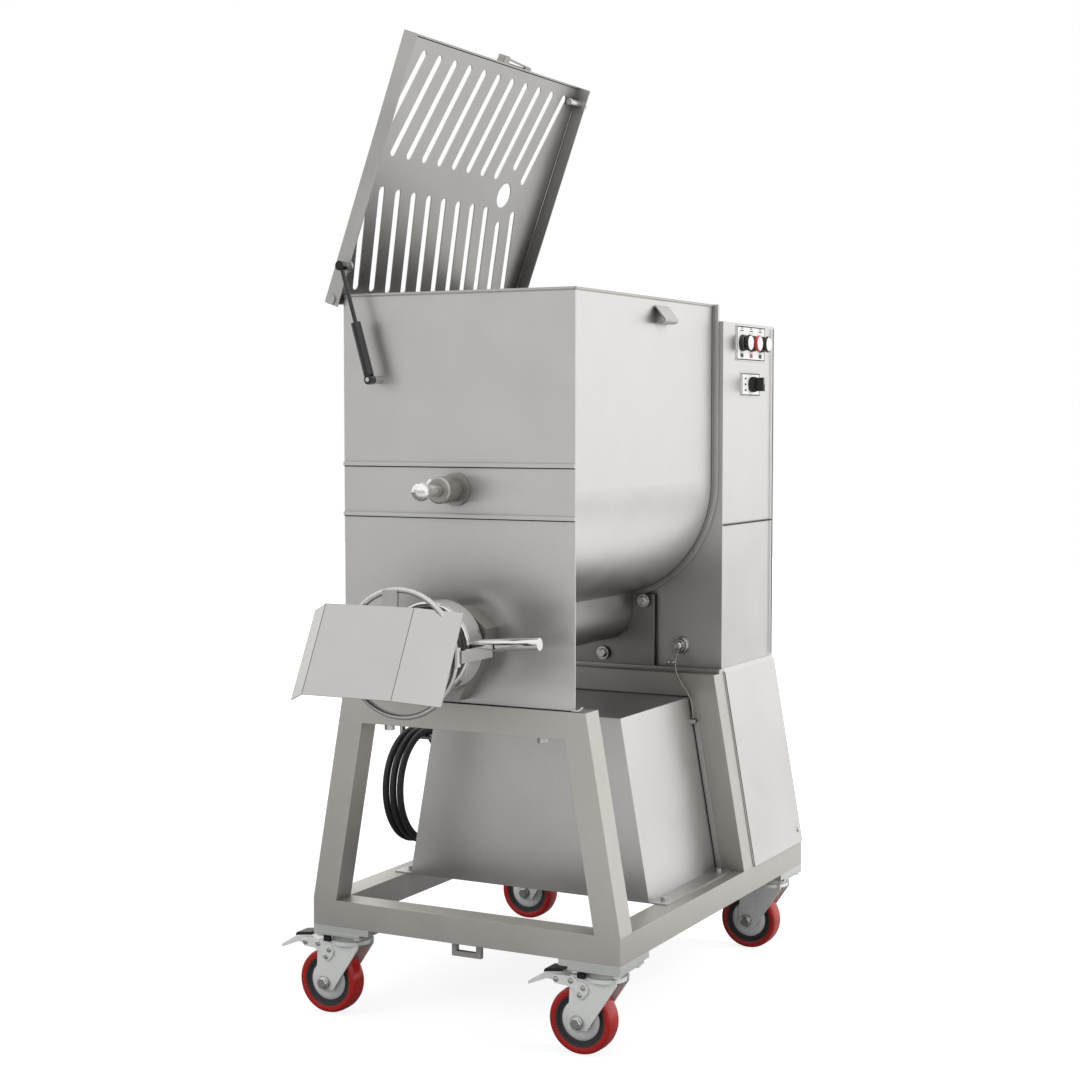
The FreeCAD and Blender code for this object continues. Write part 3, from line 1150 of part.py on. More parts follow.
def lid_panel():
    """Slotted sheet with a flange at each end, a strut stud and hinge holes."""
    body = doc.addObject("PartDesign::Body", "lid_grille")
    outline = plane_sketch(body, "XY_Plane", "lid_outline")
    add_outline(outline, [("0", "lid_front"), ("lid_length", "lid_front"), ("lid_length", "lid_back"),
                          ("0", "lid_back")])
    pad = body.newObject("PartDesign::Pad", "lid_pad")
    pad.Profile = outline
    pad.Reversed = True
    bind(pad, Length="lid_sheet")
    doc.recompute()
    slot_row(body, "upper", "slot_outer", "slot_inner", "slot_short")
    slot_row(body, "lower", "slot_foot", "slot_lower", "-slot_short")
    ends = []
    for name, y in (("front", "lid_front"), ("back", "lid_back-lid_sheet")):
        ends.append(box("lid_flange_" + name, "lid_length", "lid_sheet", "lid_flange", "0", y, "-lid_flange"))
    stud_s, stud_n = "(pin_inset+stud_along)", "(-pin_depth-stud_depth)"
    lug = cylinder("lid_lug", "lug_radius", "lug_sheet", stud_s, "lid_front-lug_sheet", stud_n, "y")
    post = cylinder("lid_post", "stud_radius+2", "lid_front-strut_y-eye_length/2-gap", stud_s,
                    "strut_y+eye_length/2+gap", stud_n, "y")
    hole = cylinder("lid_hinge_hole", "rod_radius+running_fit", "lid_back-lid_front+2", "pin_inset",
                    "lid_front-1", "-pin_depth", "y")
    fill = cylinder("lid_fill_hole", "fill_radius", "lid_sheet+2", "(slot_inner+slot_lower)/2",
                    "slot_first+9*slot_pitch-slot_skew-slot_skew*0.06", "-lid_sheet-1")
    bolt_hole = cylinder("lid_bolt_hole", "sensor_radius+gap", "lid_sheet+2", "lid_length-sensor_inset",
                         "lid_back-lid_sheet-1", "-lid_sheet-sensor_depth/2", "y")
    return on_lid(cut("lid_panel", fuse("lid_whole", body, lug, post, *ends), hole, fill, bolt_hole))


def lid_latch():
    """Spring strap with two feet on the free edge."""
    y = "latch_y-latch_length/2"
    edge = "lid_length+latch_hang-latch_width"
    feet = [
        box("latch_hook", "latch_width", "latch_foot", "latch_block", edge, y, "0"),
        box("latch_heel", "latch_width", "latch_foot", "strap_rise", edge,
            "latch_y+latch_length/2-latch_foot", "0"),
    ]
    strap = box("latch_band", "latch_strap", "latch_length", "strap_sheet",
                edge + "+(latch_width-latch_strap)/2", y,
                "strap_rise")
    return on_lid(fuse("lid_latch", strap, *feet))


def sensor_pin():
    """Block and bolt on the back flange that trip the lid switch."""
    s = "lid_length-sensor_inset"
    middle = "-lid_sheet-sensor_depth/2"
    block = box("sensor_block", "sensor_side", "sensor_length", "sensor_depth", s + "-sensor_side/2",
                "lid_back-lid_sheet-sensor_length", "-lid_sheet-sensor_depth")
    bolt = cylinder("sensor_bolt", "sensor_radius", "sensor_reach+lid_sheet", s, "lid_back-lid_sheet",
                    middle, "y")
    head = cylinder("sensor_bolt_head", "sensor_head", "bolt_height", s, "lid_back+sensor_reach", middle, "y")
    return on_lid(fuse("sensor_pin", block, bolt, head))


def hinge_rod():
    """Rod through the ears and both lid flanges, with a head at each end."""
    rod = cylinder("rod_bar", "rod_radius", "lid_back-lid_front+2*gap", "pin_x", "lid_front-gap", "pin_z",
                   "y")
    caps = []
    for name, y in (("front", "lid_front-gap-cap_length"), ("back", "lid_back+gap")):
        caps.append(cylinder("rod_cap_" + name, "rod_radius+rod_cap", "cap_length", "pin_x", y, "pin_z", "y"))
    return fuse("hinge_rod", rod, *caps)


STRUT_LENGTH = "sqrt((%s-strut_x)*(%s-strut_x)+(%s-strut_z)*(%s-strut_z))" % (STUD_X, STUD_X, STUD_Z, STUD_Z)
STRUT_TURN = "atan2(strut_x-%s; %s-strut_z)" % (STUD_X, STUD_Z)


def on_strut(item):
    """Put an object that was modelled upright on the strut's line."""
    item.Placement = Placement(Vector(), Rotation(Vector(0, -1, 0), 16))
    bind(item, **{"Placement.Rotation.Angle": STRUT_TURN})
    return place(item, "strut_x", "strut_y", "strut_z")


def strut_cylinder():
    """Cylinder with an eye on the panel's stud and a bore for the rod."""
    bottom = "(eye_radius+eye_neck)"
    tube = cylinder("strut_tube", "strut_radius", "strut_bore+tube_floor", "0", "0", bottom + "-tube_floor")
    eye = cylinder("strut_low_eye", "eye_radius", "eye_length", "0", "-eye_length/2", "0", "y")
    stud_hole = cylinder("strut_stud_hole", "stud_radius+running_fit", "eye_length+2", "0",
                         "-eye_length/2-1", "0", "y")
    bore = cylinder("strut_hole", "strut_rod+running_fit", "strut_bore+1", "0", "0", bottom)
    return on_strut(cut("strut_cylinder", fuse("strut_body", tube, eye), stud_hole, bore))


def strut_rod():
    """Rod with an eye at the lid's stud."""
    start = "(eye_radius+eye_neck+strut_bore-rod_grip)"
    rod = cylinder("strut_bar", "strut_rod", "%s-%s" % (STRUT_LENGTH, start), "0", "0", start)
    eye = cylinder("strut_high_eye", "eye_radius", "eye_length", "0", "-eye_length/2", STRUT_LENGTH, "y")
    return on_strut(fuse("strut_rod", rod, eye))


def build_lid():
    for make in (lid_panel, lid_latch, sensor_pin, hinge_rod, strut_cylinder, strut_rod):
        piece(make())


# Controls on the right side of the cabinet
PLATE_X = "(%s+legend_sheet)" % CABINET_HALF
BUTTONS = (("start", -1), ("stop", 0), ("reverse", 1))


def button_plate():
    """Legend plate with three bezels."""
    plate = box("legend_plate", "legend_sheet", "legend_width", "legend_height", CABINET_HALF,
                "button_y-legend_width/2", "button_z-legend_height/2")
    bezels, holes = [], []
    for name, step in BUTTONS:
        y = "button_y+%d*button_pitch" % step
        bezels.append(cylinder("bezel_" + name, "bezel_radius", "bezel_height", PLATE_X, y, "button_z", "x"))
        holes.append(cylinder("bezel_bore_" + name, "button_radius+running_fit", "bezel_height+2",
                              PLATE_X, y, "button_z", "x"))
    return cut("button_plate", fuse("legend_whole", plate, *bezels), *holes)


def push_button(name, step):
    """Cap that slides in its bezel."""
    profile = [
        (PLATE_X + "+button_travel+gap", "0"), (PLATE_X + "+button_height", "0"),
        (PLATE_X + "+button_height", "button_radius-1.5"), (PLATE_X + "+button_height-1.5", "button_radius"),
        (PLATE_X + "+button_travel+gap", "button_radius"),
    ]
    return turned("button_" + name, "x", profile, "button_y+%d*button_pitch" % step, "button_z")


def selector_plate():
    """Plate with the collar that the selector knob turns on."""
    plate = box("selector_blank", "legend_sheet", "selector_width", "selector_height", CABINET_HALF,
                "button_y-selector_width/2", "selector_z-selector_height/2")
    collar = cylinder("selector_collar", "collar_radius", "collar_length", PLATE_X, "button_y",
                      "selector_z", "x")
    return fuse("selector_plate", plate, collar)


def selector_knob():
    """Round knob with a grip bar."""
    start = PLATE_X + "+gap"
    disc = cylinder("knob_base", "knob_radius", "knob_disc", start, "button_y", "selector_z", "x")
    grip = box("knob_bar", "knob_height-gap", "knob_grip", "1.9*knob_radius", start, "button_y-knob_grip/2",
               "selector_z-0.95*knob_radius")
    bore = cylinder("knob_bore", "collar_radius+running_fit", "collar_length+gap", PLATE_X, "button_y",
                    "selector_z", "x")
    return cut("selector_knob", fuse("knob_whole", disc, grip), bore)


def build_controls():
    piece(button_plate())
    for name, step in BUTTONS:
        piece(push_button(name, step))
    piece(selector_plate())
    piece(selector_knob())


# Cord and chain: tubes along straight runs and tangent arcs
def tube_along(points, radius):
    """A round tube along points, each corner an arc as large as its runs allow. Prints the radii."""
    edges, radii = [], []
    start = points[0]
    for before, corner, after in zip(points, points[1:], points[2:]):
        back, ahead = (before - corner), (after - corner)
        turn = math.pi - back.getAngle(ahead)
        reach = 0.45 * min(back.Length, ahead.Length)
        radii.append(round(reach / math.tan(turn / 2)))
        back.normalize()
        ahead.normalize()
        first, last = corner + back * reach, corner + ahead * reach
        middle = (first + last) * 0.5
        toward = corner - middle
        toward.normalize()
        sagitta = (last - first).Length / 2 * math.tan(turn / 4)
        edges.append(Part.LineSegment(start, first).toShape())
        edges.append(Part.Arc(first, middle + toward * sagitta, last).toShape())
        start = last
    edges.append(Part.LineSegment(start, points[-1]).toShape())
    path = Part.Wire(edges)
    tangent = points[1] - points[0]
    section = Part.Wire(Part.Circle(points[0], tangent, radius).toShape())
    tube = path.makePipeShell([section], True, False)
    print("tube radii", radii, "volume ratio", round(tube.Volume / (math.pi * radius ** 2 * path.Length), 4))
    return tube


def biarc(start, start_way, end, end_way):
    """Two arcs that join two points with given directions."""
    chord = end - start
    ways = start_way + end_way
    a = ways.dot(ways) - 4
    b = -2 * chord.dot(ways)
    c = chord.dot(chord)
    reach = (-b - math.sqrt(b * b - 4 * a * c)) / (2 * a)
    if reach < 0:
        reach = (-b + math.sqrt(b * b - 4 * a * c)) / (2 * a)
    corners = start + start_way * reach, end - end_way * reach
    middle = (corners[0] + corners[1]) * 0.5
    arcs = []
    for first, corner, last in ((start, corners[0], middle), (middle, corners[1], end)):
        base = (first + last) * 0.5
        half = (last - first).Length / 2
        angle = math.atan2((corner - base).Length, half)
        rise = corner - base
        rise.normalize()
        arcs.append(Part.Arc(first, base + rise * half * math.tan(angle / 2), last).toShape())
    return arcs


def coil_point(turn):
    """Place and direction on the coil, which starts at the bottom and first runs to the front."""
    angle = 2 * math.pi * turn
    radius, pitch = number("coil_radius"), number("coil_pitch")
    spot = Vector(number("coil_x") - pitch * turn, number("coil_y") - radius * math.sin(angle),
                  number("coil_z") - radius * math.cos(angle))
    way = Vector(-pitch / (2 * math.pi), -radius * math.cos(angle), radius * math.sin(angle))
    way.normalize()
    return spot, way


def cord_coil():
    """Loops of spare cord hung on the hook, as one tube with straight ends."""
    radius, turns = number("cord_radius"), number("coil_turns")
    steps = round(turns * 4)
    knots = [coil_point(turns * index / steps) for index in range(steps + 1)]
    edges = []
    first_spot, first_way = knots[0]
    tail = 2 * radius
    edges.append(Part.LineSegment(first_spot - first_way * tail, first_spot).toShape())
    for (spot, way), (next_spot, next_way) in zip(knots, knots[1:]):
        edges += biarc(spot, way, next_spot, next_way)
    last_spot, last_way = knots[-1]
    edges.append(Part.LineSegment(last_spot, last_spot + last_way * tail).toShape())
    path = Part.Wire(edges)
    section = Part.Wire(Part.Circle(first_spot - first_way * tail, first_way, radius).toShape())
    coil = doc.addObject("Part::Feature", "cord_coil")
    coil.Shape = path.makePipeShell([section], True, False)
    samples = [coil_point(turns * index / 400)[0] for index in range(401)]
    near = min((samples[i] - samples[j]).Length for i in range(401) for j in range(i + 60, 401))
    print("coil least gap", round(near - 2 * radius, 2), "volume ratio",
          round(coil.Shape.Volume / (math.pi * radius ** 2 * path.Length), 4))
    return coil


def cord_start():
    """Where the coil's straight first end begins, and its direction."""
    spot, way = coil_point(0)
    return spot - way * 2 * number("cord_radius"), way


def cord_lead():
    """Cord from the gland to the coil."""
    spot, way = cord_start()
    gland_end = Vector(number("gland_x"), number("middle_frame_y-gland_length"), spot.z)
    points = [gland_end, gland_end + Vector(0, -62, 0), spot - way * 58, spot]
    lead = doc.addObject("Part::Feature", "cord_lead")
    lead.Shape = tube_along(points, number("cord_radius"))
    return lead


def cord_gland():
    """Screwed gland on the front of the middle frame's left leg."""
    z = "coil_z-coil_radius"
    front = "(middle_frame_y-gland_length)"
    bore = "cord_radius"
    profile = [
        (bore, front), ("(cord_radius+gland_radius)/2", front), ("gland_radius", front + "+gland_taper"),
        ("gland_radius", "middle_frame_y-gland_nut"), ("gland_radius+gland_seat", "middle_frame_y-gland_nut"),
        ("gland_radius+gland_seat", "middle_frame_y"), ("0", "middle_frame_y"), ("0", front + "+gland_seat"),
        (bore, front + "+gland_seat"),
    ]
    return turned("cord_gland", "y", profile, "gland_x", z)


def cord_tail_points():
    """Route of the cord's last stretch, from the coil's end out to the plug."""
    spot, way = coil_point(number("coil_turns"))
    start = spot + way * 2 * number("cord_radius")
    return [start, start + way * 32, start + Vector(-15, 1, -68), start + Vector(-22, 2, -100)]


def cord_tail():
    """Cord from the coil's end to the plug."""
    tail = doc.addObject("Part::Feature", "cord_tail")
    tail.Shape = tube_along(cord_tail_points(), number("cord_radius"))
    return tail


def power_plug():
    """Plug that hangs from the cord's end, with two blades and an earth pin."""
    points = cord_tail_points()
    end = points[-1]
    way = points[-1] - points[-2]
    way.normalize()
    neck_length, length = number("plug_neck"), number("plug_length")
    neck = Part.makeCone(number("cord_radius+2"), number("cord_radius+4"), neck_length, end, way)
    body_start = end + way * neck_length
    body = Part.makeCylinder(number("plug_radius"), length, body_start, way)
    face = Placement(body_start + way * length, Rotation(Vector(0, 0, 1), way))
    thin, wide, long = number("blade_sheet"), number("blade_width"), number("blade_length")
    half = number("blade_spacing/2")
    pins = [Part.makeBox(thin, wide, long, Vector(x - thin / 2, -wide / 2, 0)) for x in (-half, half)]
    pins.append(Part.makeCylinder(number("earth_radius"), number("earth_length"),
                                  Vector(0, number("earth_offset"), 0)))
    for pin in pins:
        pin.Placement = face.multiply(pin.Placement)
    plug = doc.addObject("Part::Feature", "power_plug")
    plug.Shape = neck.multiFuse([body] + pins)
    return plug


def cord_hook():
    """Round hook on the housing's left side that the coil hangs on."""
    z = "(coil_z+coil_radius-cord_radius-hook_radius-gap)"
    wall = "(-housing_bottom/2+(%s-%s)*(housing_bottom-housing_top)/2/(housing_height-%s))" % (z, KNEE, KNEE)
    tip = "(coil_x-coil_pitch*coil_turns-cord_radius-hook_radius-hook_spare)"
    bar = cylinder("hook_bar", "hook_radius", "%s-%s" % (wall, tip), tip, "coil_y", z, "x")
    end = cylinder("hook_end", "hook_radius", "hook_tip", tip, "coil_y", z)
    foot = cylinder("hook_foot", "hook_plate", "4*foot_sheet", wall + "-foot_sheet", "coil_y", z, "x")
    inside = prism("hook_trim", "XZ", "coil_y-2*hook_plate", "4*hook_plate", [
        ("-housing_bottom/2", KNEE), ("-housing_top/2", "housing_height"), ("0", "housing_height"),
        ("0", KNEE)])
    return cut("cord_hook", fuse("hook_whole", bar, end, foot), inside)


def drain_plug():
    """Plug in its boss on the cabinet wall, above the ledge."""
    boss = cylinder("drain_boss", "drain_radius", "boss_length", "drain_x", WALL + "-boss_length",
                    "drain_z", "y")
    flange = cylinder("drain_collar", "drain_radius+drain_flange", "flange_sheet", "drain_x",
                      WALL + "-flange_sheet",
                      "drain_z", "y")
    knob = cylinder("drain_grip", "drain_knob", "knob_length", "drain_x", WALL + "-boss_length-knob_length",
                    "drain_z", "y")
    return fuse("drain_plug", boss, flange, knob)


ANCHOR_Z = "(housing_height-anchor_drop)"
ANCHOR_X = "(housing_bottom/2-(%s-%s)*(housing_bottom-housing_top)/2/(housing_height-%s))" % (ANCHOR_Z,
                                                                                              KNEE, KNEE)


def chain_anchor():
    """Small tab on the housing's right side that holds the chain's lower end."""
    tab = box("anchor_tab", "2*anchor_reach", "anchor_size", "anchor_size", ANCHOR_X + "-anchor_reach",
              "middle_frame_y-2*anchor_size", ANCHOR_Z + "-anchor_size/2")
    inside = prism("anchor_trim", "XZ", "middle_frame_y-4*anchor_size", "4*anchor_size", [
        ("housing_bottom/2", KNEE), ("housing_top/2", "housing_height"), ("0", "housing_height"),
        ("0", KNEE)])
    return cut("chain_anchor", tab, inside)


def bead_chain():
    """Chain from the plug over the cabinet's ledge to the tab on the housing."""
    radius, play = number("chain_radius"), number("gap")
    top = Vector(number("drain_x"), number("%s-boss_length-knob_length/2" % WALL),
                 number("drain_z-drain_knob") - play)
    foot = Vector(number(ANCHOR_X + "+anchor_reach/2"), number("middle_frame_y-1.5*anchor_size"),
                  number(ANCHOR_Z + "+anchor_size/2") + play)
    points = [
        top,
        top + Vector(0.5, -7, -13),
        top + Vector(4, -27, -28),
        top + Vector(18, -42, -55),
        foot + Vector(-11, 0.5, 54),
        foot + Vector(-1, 1, 26),
        foot,
    ]
    chain = doc.addObject("Part::Feature", "bead_chain")
    chain.Shape = tube_along(points, radius)
    return chain


def build_cord():
    for make in (cord_gland, cord_lead, cord_coil, cord_tail, power_plug, drain_plug, bead_chain):
        piece(make())


# Drive inside the cabinet
def gearbox(name, z, radius):
    """Gearbox on the back of the cabinet wall, bored for its shaft."""
    start = WALL + "+cabinet_sheet"
    block = box(name + "_case", "gearbox_side", "gearbox_depth", "gearbox_side", CENTRE + "-gearbox_side/2",
                start, z + "-gearbox_side/2")
    bore = cylinder(name + "_bore", radius + "+running_fit", "gearbox_depth-gearbox_wall", CENTRE, start, z,
                    "y")
    return cut(name, block, bore)


def drive_motor():
    """Grinding motor on a cross plate that lies on the side rails."""
    y = "(skirt_front+motor_inset)"
    barrel = cylinder("motor_barrel", "motor_radius", "motor_length", "0", y, "motor_axis", "y")
    foot = box("motor_block", "motor_foot", "motor_length-2*foot_inset", "motor_axis-%s-motor_plate" % KNEE,
               "-motor_foot/2", y + "+foot_inset", KNEE + "+motor_plate")
    plate = box("motor_base", "base_width-tube_size", "motor_length", "motor_plate",
                "-base_width/2+tube_size/2", y,
                KNEE)
    return fuse("drive_motor", barrel, foot, plate)


def build_drive():
    piece(gearbox("worm_gearbox", "feed_height", "worm_core"))
    piece(gearbox("paddle_gearbox", "mixer_height", "shaft_radius"))
    piece(drive_motor())


for build in (build_frame, build_casters, build_hopper, build_cabinet, build_head, build_paddle, build_lid,
              build_controls, build_cord, build_drive):
    build()
doc.recompute()

for item in doc.Objects:
    if "Invalid" in item.State or "Error" in item.State:
        raise RuntimeError("%s failed: %s" % (item.Label, item.State))
for item in pieces:
    if item.Shape.isNull() or not item.Shape.isValid():
        raise RuntimeError("%s has no valid shape" % item.Label)

os.makedirs("parts", exist_ok=True)
for item in pieces:
    item.Shape.exportStep("parts/%s.step" % item.Label)
    print(item.Label, len(item.Shape.Solids), round(item.Shape.Volume / 1000, 1))
print(len(pieces), "sub-parts")
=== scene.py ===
# %% [markdown]
# A floor-standing meat mixer-grinder
#
# The solids come from the CAD model and stay where they are. This lesson gives them their finishes
# and adds what a solid model leaves out: the cord, the wheel treads, the bead chain, seams, trim,
# fasteners and marks.

# %% The frame
import json
import math

import bmesh
import bpy
from mathutils import Matrix, Vector


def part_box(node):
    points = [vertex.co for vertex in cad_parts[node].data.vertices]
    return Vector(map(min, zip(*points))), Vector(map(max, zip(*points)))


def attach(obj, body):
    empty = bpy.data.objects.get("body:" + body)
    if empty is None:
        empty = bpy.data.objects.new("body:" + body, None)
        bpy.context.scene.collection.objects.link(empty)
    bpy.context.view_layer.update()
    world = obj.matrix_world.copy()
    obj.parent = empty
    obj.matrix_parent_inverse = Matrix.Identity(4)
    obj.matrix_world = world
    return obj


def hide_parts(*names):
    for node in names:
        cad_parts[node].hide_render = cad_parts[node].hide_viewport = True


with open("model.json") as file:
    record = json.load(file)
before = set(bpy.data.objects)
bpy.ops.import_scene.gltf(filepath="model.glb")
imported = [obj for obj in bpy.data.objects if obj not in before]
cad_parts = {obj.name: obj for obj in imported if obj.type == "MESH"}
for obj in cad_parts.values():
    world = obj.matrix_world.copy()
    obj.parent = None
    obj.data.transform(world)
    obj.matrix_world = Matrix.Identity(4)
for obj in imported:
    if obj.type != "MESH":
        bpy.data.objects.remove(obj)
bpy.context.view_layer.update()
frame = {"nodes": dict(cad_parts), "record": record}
nodes = frame["nodes"]
MM = 0.001

# %% [markdown]
# The camera
#
# A product photograph like this one is taken with a long lens from some four metres away, at about
# chest height. The numbers were fitted to the machine's own straight edges, so the render and the
# photograph can be laid over each other.

# %% Camera
CAMERA_PLACE = Vector((1.80295, -3.57437, 1.15527))
CAMERA_TURN = math.radians(27.74)
CAMERA_DIP = math.radians(3.50)
FOCAL_PIXELS = 1964.1
FRAME_PIXELS = 1080
SENSOR_MM = 36

camera_data = bpy.data.cameras.new("camera")
camera_data.sensor_width = SENSOR_MM
camera_data.lens = FOCAL_PIXELS / FRAME_PIXELS * SENSOR_MM
camera = bpy.data.objects.new("camera", camera_data)
camera.location = CAMERA_PLACE
camera.rotation_euler = (math.pi / 2 - CAMERA_DIP, 0, CAMERA_TURN)
bpy.context.scene.collection.objects.link(camera)
bpy.context.scene.camera = camera
print("lens", round(camera_data.lens, 1), "mm")

# %% [markdown]
# The studio round the machine
#
# Stainless sheet shows mostly what stands round it. A studio has white screens on every side, and in
# front of the machine a dark strip of the room is left below them. The world does the same here. It is
# white where the camera looks past the machine. For reflections it is a little darker towards the front
# left, and the dark strip lies just above the horizon in front, so polished bars carry a dark line.
# Matt surfaces get a lower level, because the lamps light them as well.

# %% World
def add_node(tree, kind, links=None, **settings):
    """Add a node, set its properties and its inputs, and link other sockets into it."""
    node = tree.nodes.new(kind)
    for name, value in settings.items():
        setattr(node, name, value)
    for name, value in (links or {}).items():
        if isinstance(value, bpy.types.NodeSocket):
            tree.links.new(value, node.inputs[name])
        else:
            node.inputs[name].default_value = value
    return node


# Directions are unit vectors; a height is the upward part of one and a front its part along Y.
DARK_SIDE = (-0.80, -0.55, 0.24)
SCREEN_REACH, SCREEN_TONES = (0.62, 0.97), (1.12, 1.02)
STRIP_HEIGHT, STRIP_REACH, STRIP_TONE = 0.12, (0.04, 0.13), 0.28
STRIP_FRONT = (-0.15, -0.5)
MATT_LEVEL = 0.70


def make_world():
    world = bpy.data.worlds.new("studio")
    bpy.context.scene.world = world
    world.use_nodes = True
    tree = world.node_tree
    tree.nodes.clear()
    way = add_node(tree, "ShaderNodeTexCoord").outputs["Generated"]
    room = add_node(tree, "ShaderNodeVectorMath", {0: way, 1: DARK_SIDE}, operation="DOT_PRODUCT")
    screen = add_node(tree, "ShaderNodeMapRange", {
        "Value": room.outputs["Value"], "From Min": SCREEN_REACH[0], "From Max": SCREEN_REACH[1],
        "To Min": SCREEN_TONES[0], "To Max": SCREEN_TONES[1]}, interpolation_type="SMOOTHSTEP")
    part = add_node(tree, "ShaderNodeSeparateXYZ", {"Vector": way})
    above = add_node(tree, "ShaderNodeMath", {0: part.outputs["Z"], 1: STRIP_HEIGHT}, operation="SUBTRACT")
    beside = add_node(tree, "ShaderNodeMath", {0: above.outputs[0]}, operation="ABSOLUTE")
    strip = add_node(tree, "ShaderNodeMapRange", {
        "Value": beside.outputs[0], "From Min": STRIP_REACH[0], "From Max": STRIP_REACH[1],
        "To Min": STRIP_TONE, "To Max": 1.0}, interpolation_type="SMOOTHSTEP")
    front = add_node(tree, "ShaderNodeMapRange", {
        "Value": part.outputs["Y"], "From Min": STRIP_FRONT[0], "From Max": STRIP_FRONT[1],
        "To Min": 0.0, "To Max": 1.0})
    shade = add_node(tree, "ShaderNodeMix", {
        "Factor": front.outputs["Result"], "A": 1.0, "B": strip.outputs["Result"]})
    shown = add_node(tree, "ShaderNodeMath", {
        0: screen.outputs["Result"], 1: shade.outputs["Result"]}, operation="MULTIPLY")
    path = add_node(tree, "ShaderNodeLightPath")
    mirror = add_node(tree, "ShaderNodeMath", {
        0: path.outputs["Is Glossy Ray"], 1: path.outputs["Is Transmission Ray"]}, operation="MAXIMUM")
    seen = add_node(tree, "ShaderNodeMix", {
        "Factor": mirror.outputs[0], "A": MATT_LEVEL, "B": shown.outputs[0]})
    level = add_node(tree, "ShaderNodeMix", {
        "Factor": path.outputs["Is Camera Ray"], "A": seen.outputs["Result"], "B": 1.0})
    sky = add_node(tree, "ShaderNodeBackground", {
        "Color": (1, 1, 1, 1), "Strength": level.outputs["Result"]})
    add_node(tree, "ShaderNodeOutputWorld", {"Surface": sky.outputs["Background"]})
    bpy.context.scene.view_settings.view_transform = "Standard"


make_world()
print("world with a dark strip at height", STRIP_HEIGHT)

# %% [markdown]
# The floor
#
# The floor is a sweep of matt white paper. To the camera it glows to white, and it keeps the machine's
# shadow. In the sheet's reflections its colour is painted: grey where the machine stands and to its
# left as painted shade, and lighter to the right, both behind and in front, as painted light from the
# screens.

# %% Floor
FLOOR_SIZE = 24
PAPER_GLOW = 0.84
# A way over the floor, two distances along it in metres, and the tones there.
BEHIND = ((0.6, 0.8, 0), (-0.3, 1.9), (0.24, 0.95))
BEFORE = ((0.62, -0.78, 0), (0.5, 1.5), (0.24, 0.68))


def floor_fade(tree, place, way, reach, tones):
    """A tone that changes along one way over the floor, between two distances in metres."""
    run = add_node(tree, "ShaderNodeVectorMath", {0: place, 1: way}, operation="DOT_PRODUCT")
    fade = add_node(tree, "ShaderNodeMapRange", {
        "Value": run.outputs["Value"], "From Min": reach[0], "From Max": reach[1],
        "To Min": tones[0], "To Max": tones[1]}, interpolation_type="SMOOTHSTEP")
    return fade.outputs["Result"]


def make_floor():
    bpy.ops.mesh.primitive_plane_add(size=FLOOR_SIZE)
    floor = bpy.context.object
    floor.name = "floor"
    paper = bpy.data.materials.new("matt white paper sweep")
    paper.use_nodes = True
    tree = paper.node_tree
    tree.nodes.clear()
    place = add_node(tree, "ShaderNodeTexCoord").outputs["Object"]
    # Painted shade near the machine and painted light away from it, set in the floor's colour.
    fades = [floor_fade(tree, place, *fade) for fade in (BEHIND, BEFORE)]
    tone = add_node(tree, "ShaderNodeMath", {0: fades[0], 1: fades[1]}, operation="MAXIMUM")
    matt = add_node(tree, "ShaderNodeBsdfDiffuse", {"Color": tone.outputs[0]})
    path = add_node(tree, "ShaderNodeLightPath")
    level = add_node(tree, "ShaderNodeMath", {
        0: path.outputs["Is Camera Ray"], 1: PAPER_GLOW}, operation="MULTIPLY")
    lit = add_node(tree, "ShaderNodeEmission", {"Color": (1, 1, 1, 1), "Strength": level.outputs[0]})
    both = add_node(tree, "ShaderNodeAddShader", {0: matt.outputs[0], 1: lit.outputs[0]})
    add_node(tree, "ShaderNodeOutputMaterial", {"Surface": both.outputs[0]})
    floor.data.materials.append(paper)


make_floor()
print("paper floor", FLOOR_SIZE, "m")

# %% [markdown]
# Lamps
#
# Three large soft lamps stand where a studio has its lit screens. They light matt surfaces only and are
# hidden from reflections, because their bright squares would burn out in the sheet.

# %% Lamps
def add_lamp(name, place, aim, size, power):
    lamp = bpy.data.lights.new(name, "AREA")
    lamp.shape = "RECTANGLE"
    lamp.size, lamp.size_y = size
    lamp.energy = power
    item = bpy.data.objects.new(name, lamp)
    item.location = place
    item.rotation_euler = (Vector(aim) - Vector(place)).to_track_quat("-Z", "Y").to_euler()
    item.visible_glossy = False
    bpy.context.scene.collection.objects.link(item)


add_lamp("key_screen", (-2.2, -3.4, 2.6), (0, 0, 0.9), (2.0, 2.2), 55)
add_lamp("side_screen", (3.6, 0.6, 2.2), (0, 0, 0.9), (2.2, 2.4), 70)
add_lamp("top_screen", (0.2, -0.4, 4.2), (0, 0, 1.0), (2.6, 2.6), 45)
print("three lamps")

# %% [markdown]
# Stainless finishes
#
# Most of the machine is stainless steel. Sheet is belt-ground, which leaves fine lines one way and a
# soft, stretched highlight. Tube is blasted with glass bead after welding, so it is duller and has no
# lines. The head is cast, machined and blasted, and the ring nut and handle are polished. One function
# makes them all: grey-white metal, roughness from a noise that is drawn out along the grain, and a
# faint bump. Corners and hollows get a darker colour from an occlusion node, which is painted shade.
# The ground lines are about 0.2 mm apart on the real sheet, too fine to show from here, so they are
# drawn 1.2 mm apart.

# %% Making a metal
EDGE_ROUND = 0.9 * MM
GRAIN_DEPTH = 0.2 * MM
# Painted shade: within this distance, corners and hollows get a darker colour.
SHADE_REACH = 380 * MM
MARK_RANGE, SHADE_AO_RANGE = (0.12, 0.42), (0.15, 0.85)
# A Mix node has several sockets of one name, so its colour sockets are counted.
COLOUR_A, COLOUR_B, COLOUR_OUT = 6, 7, 2


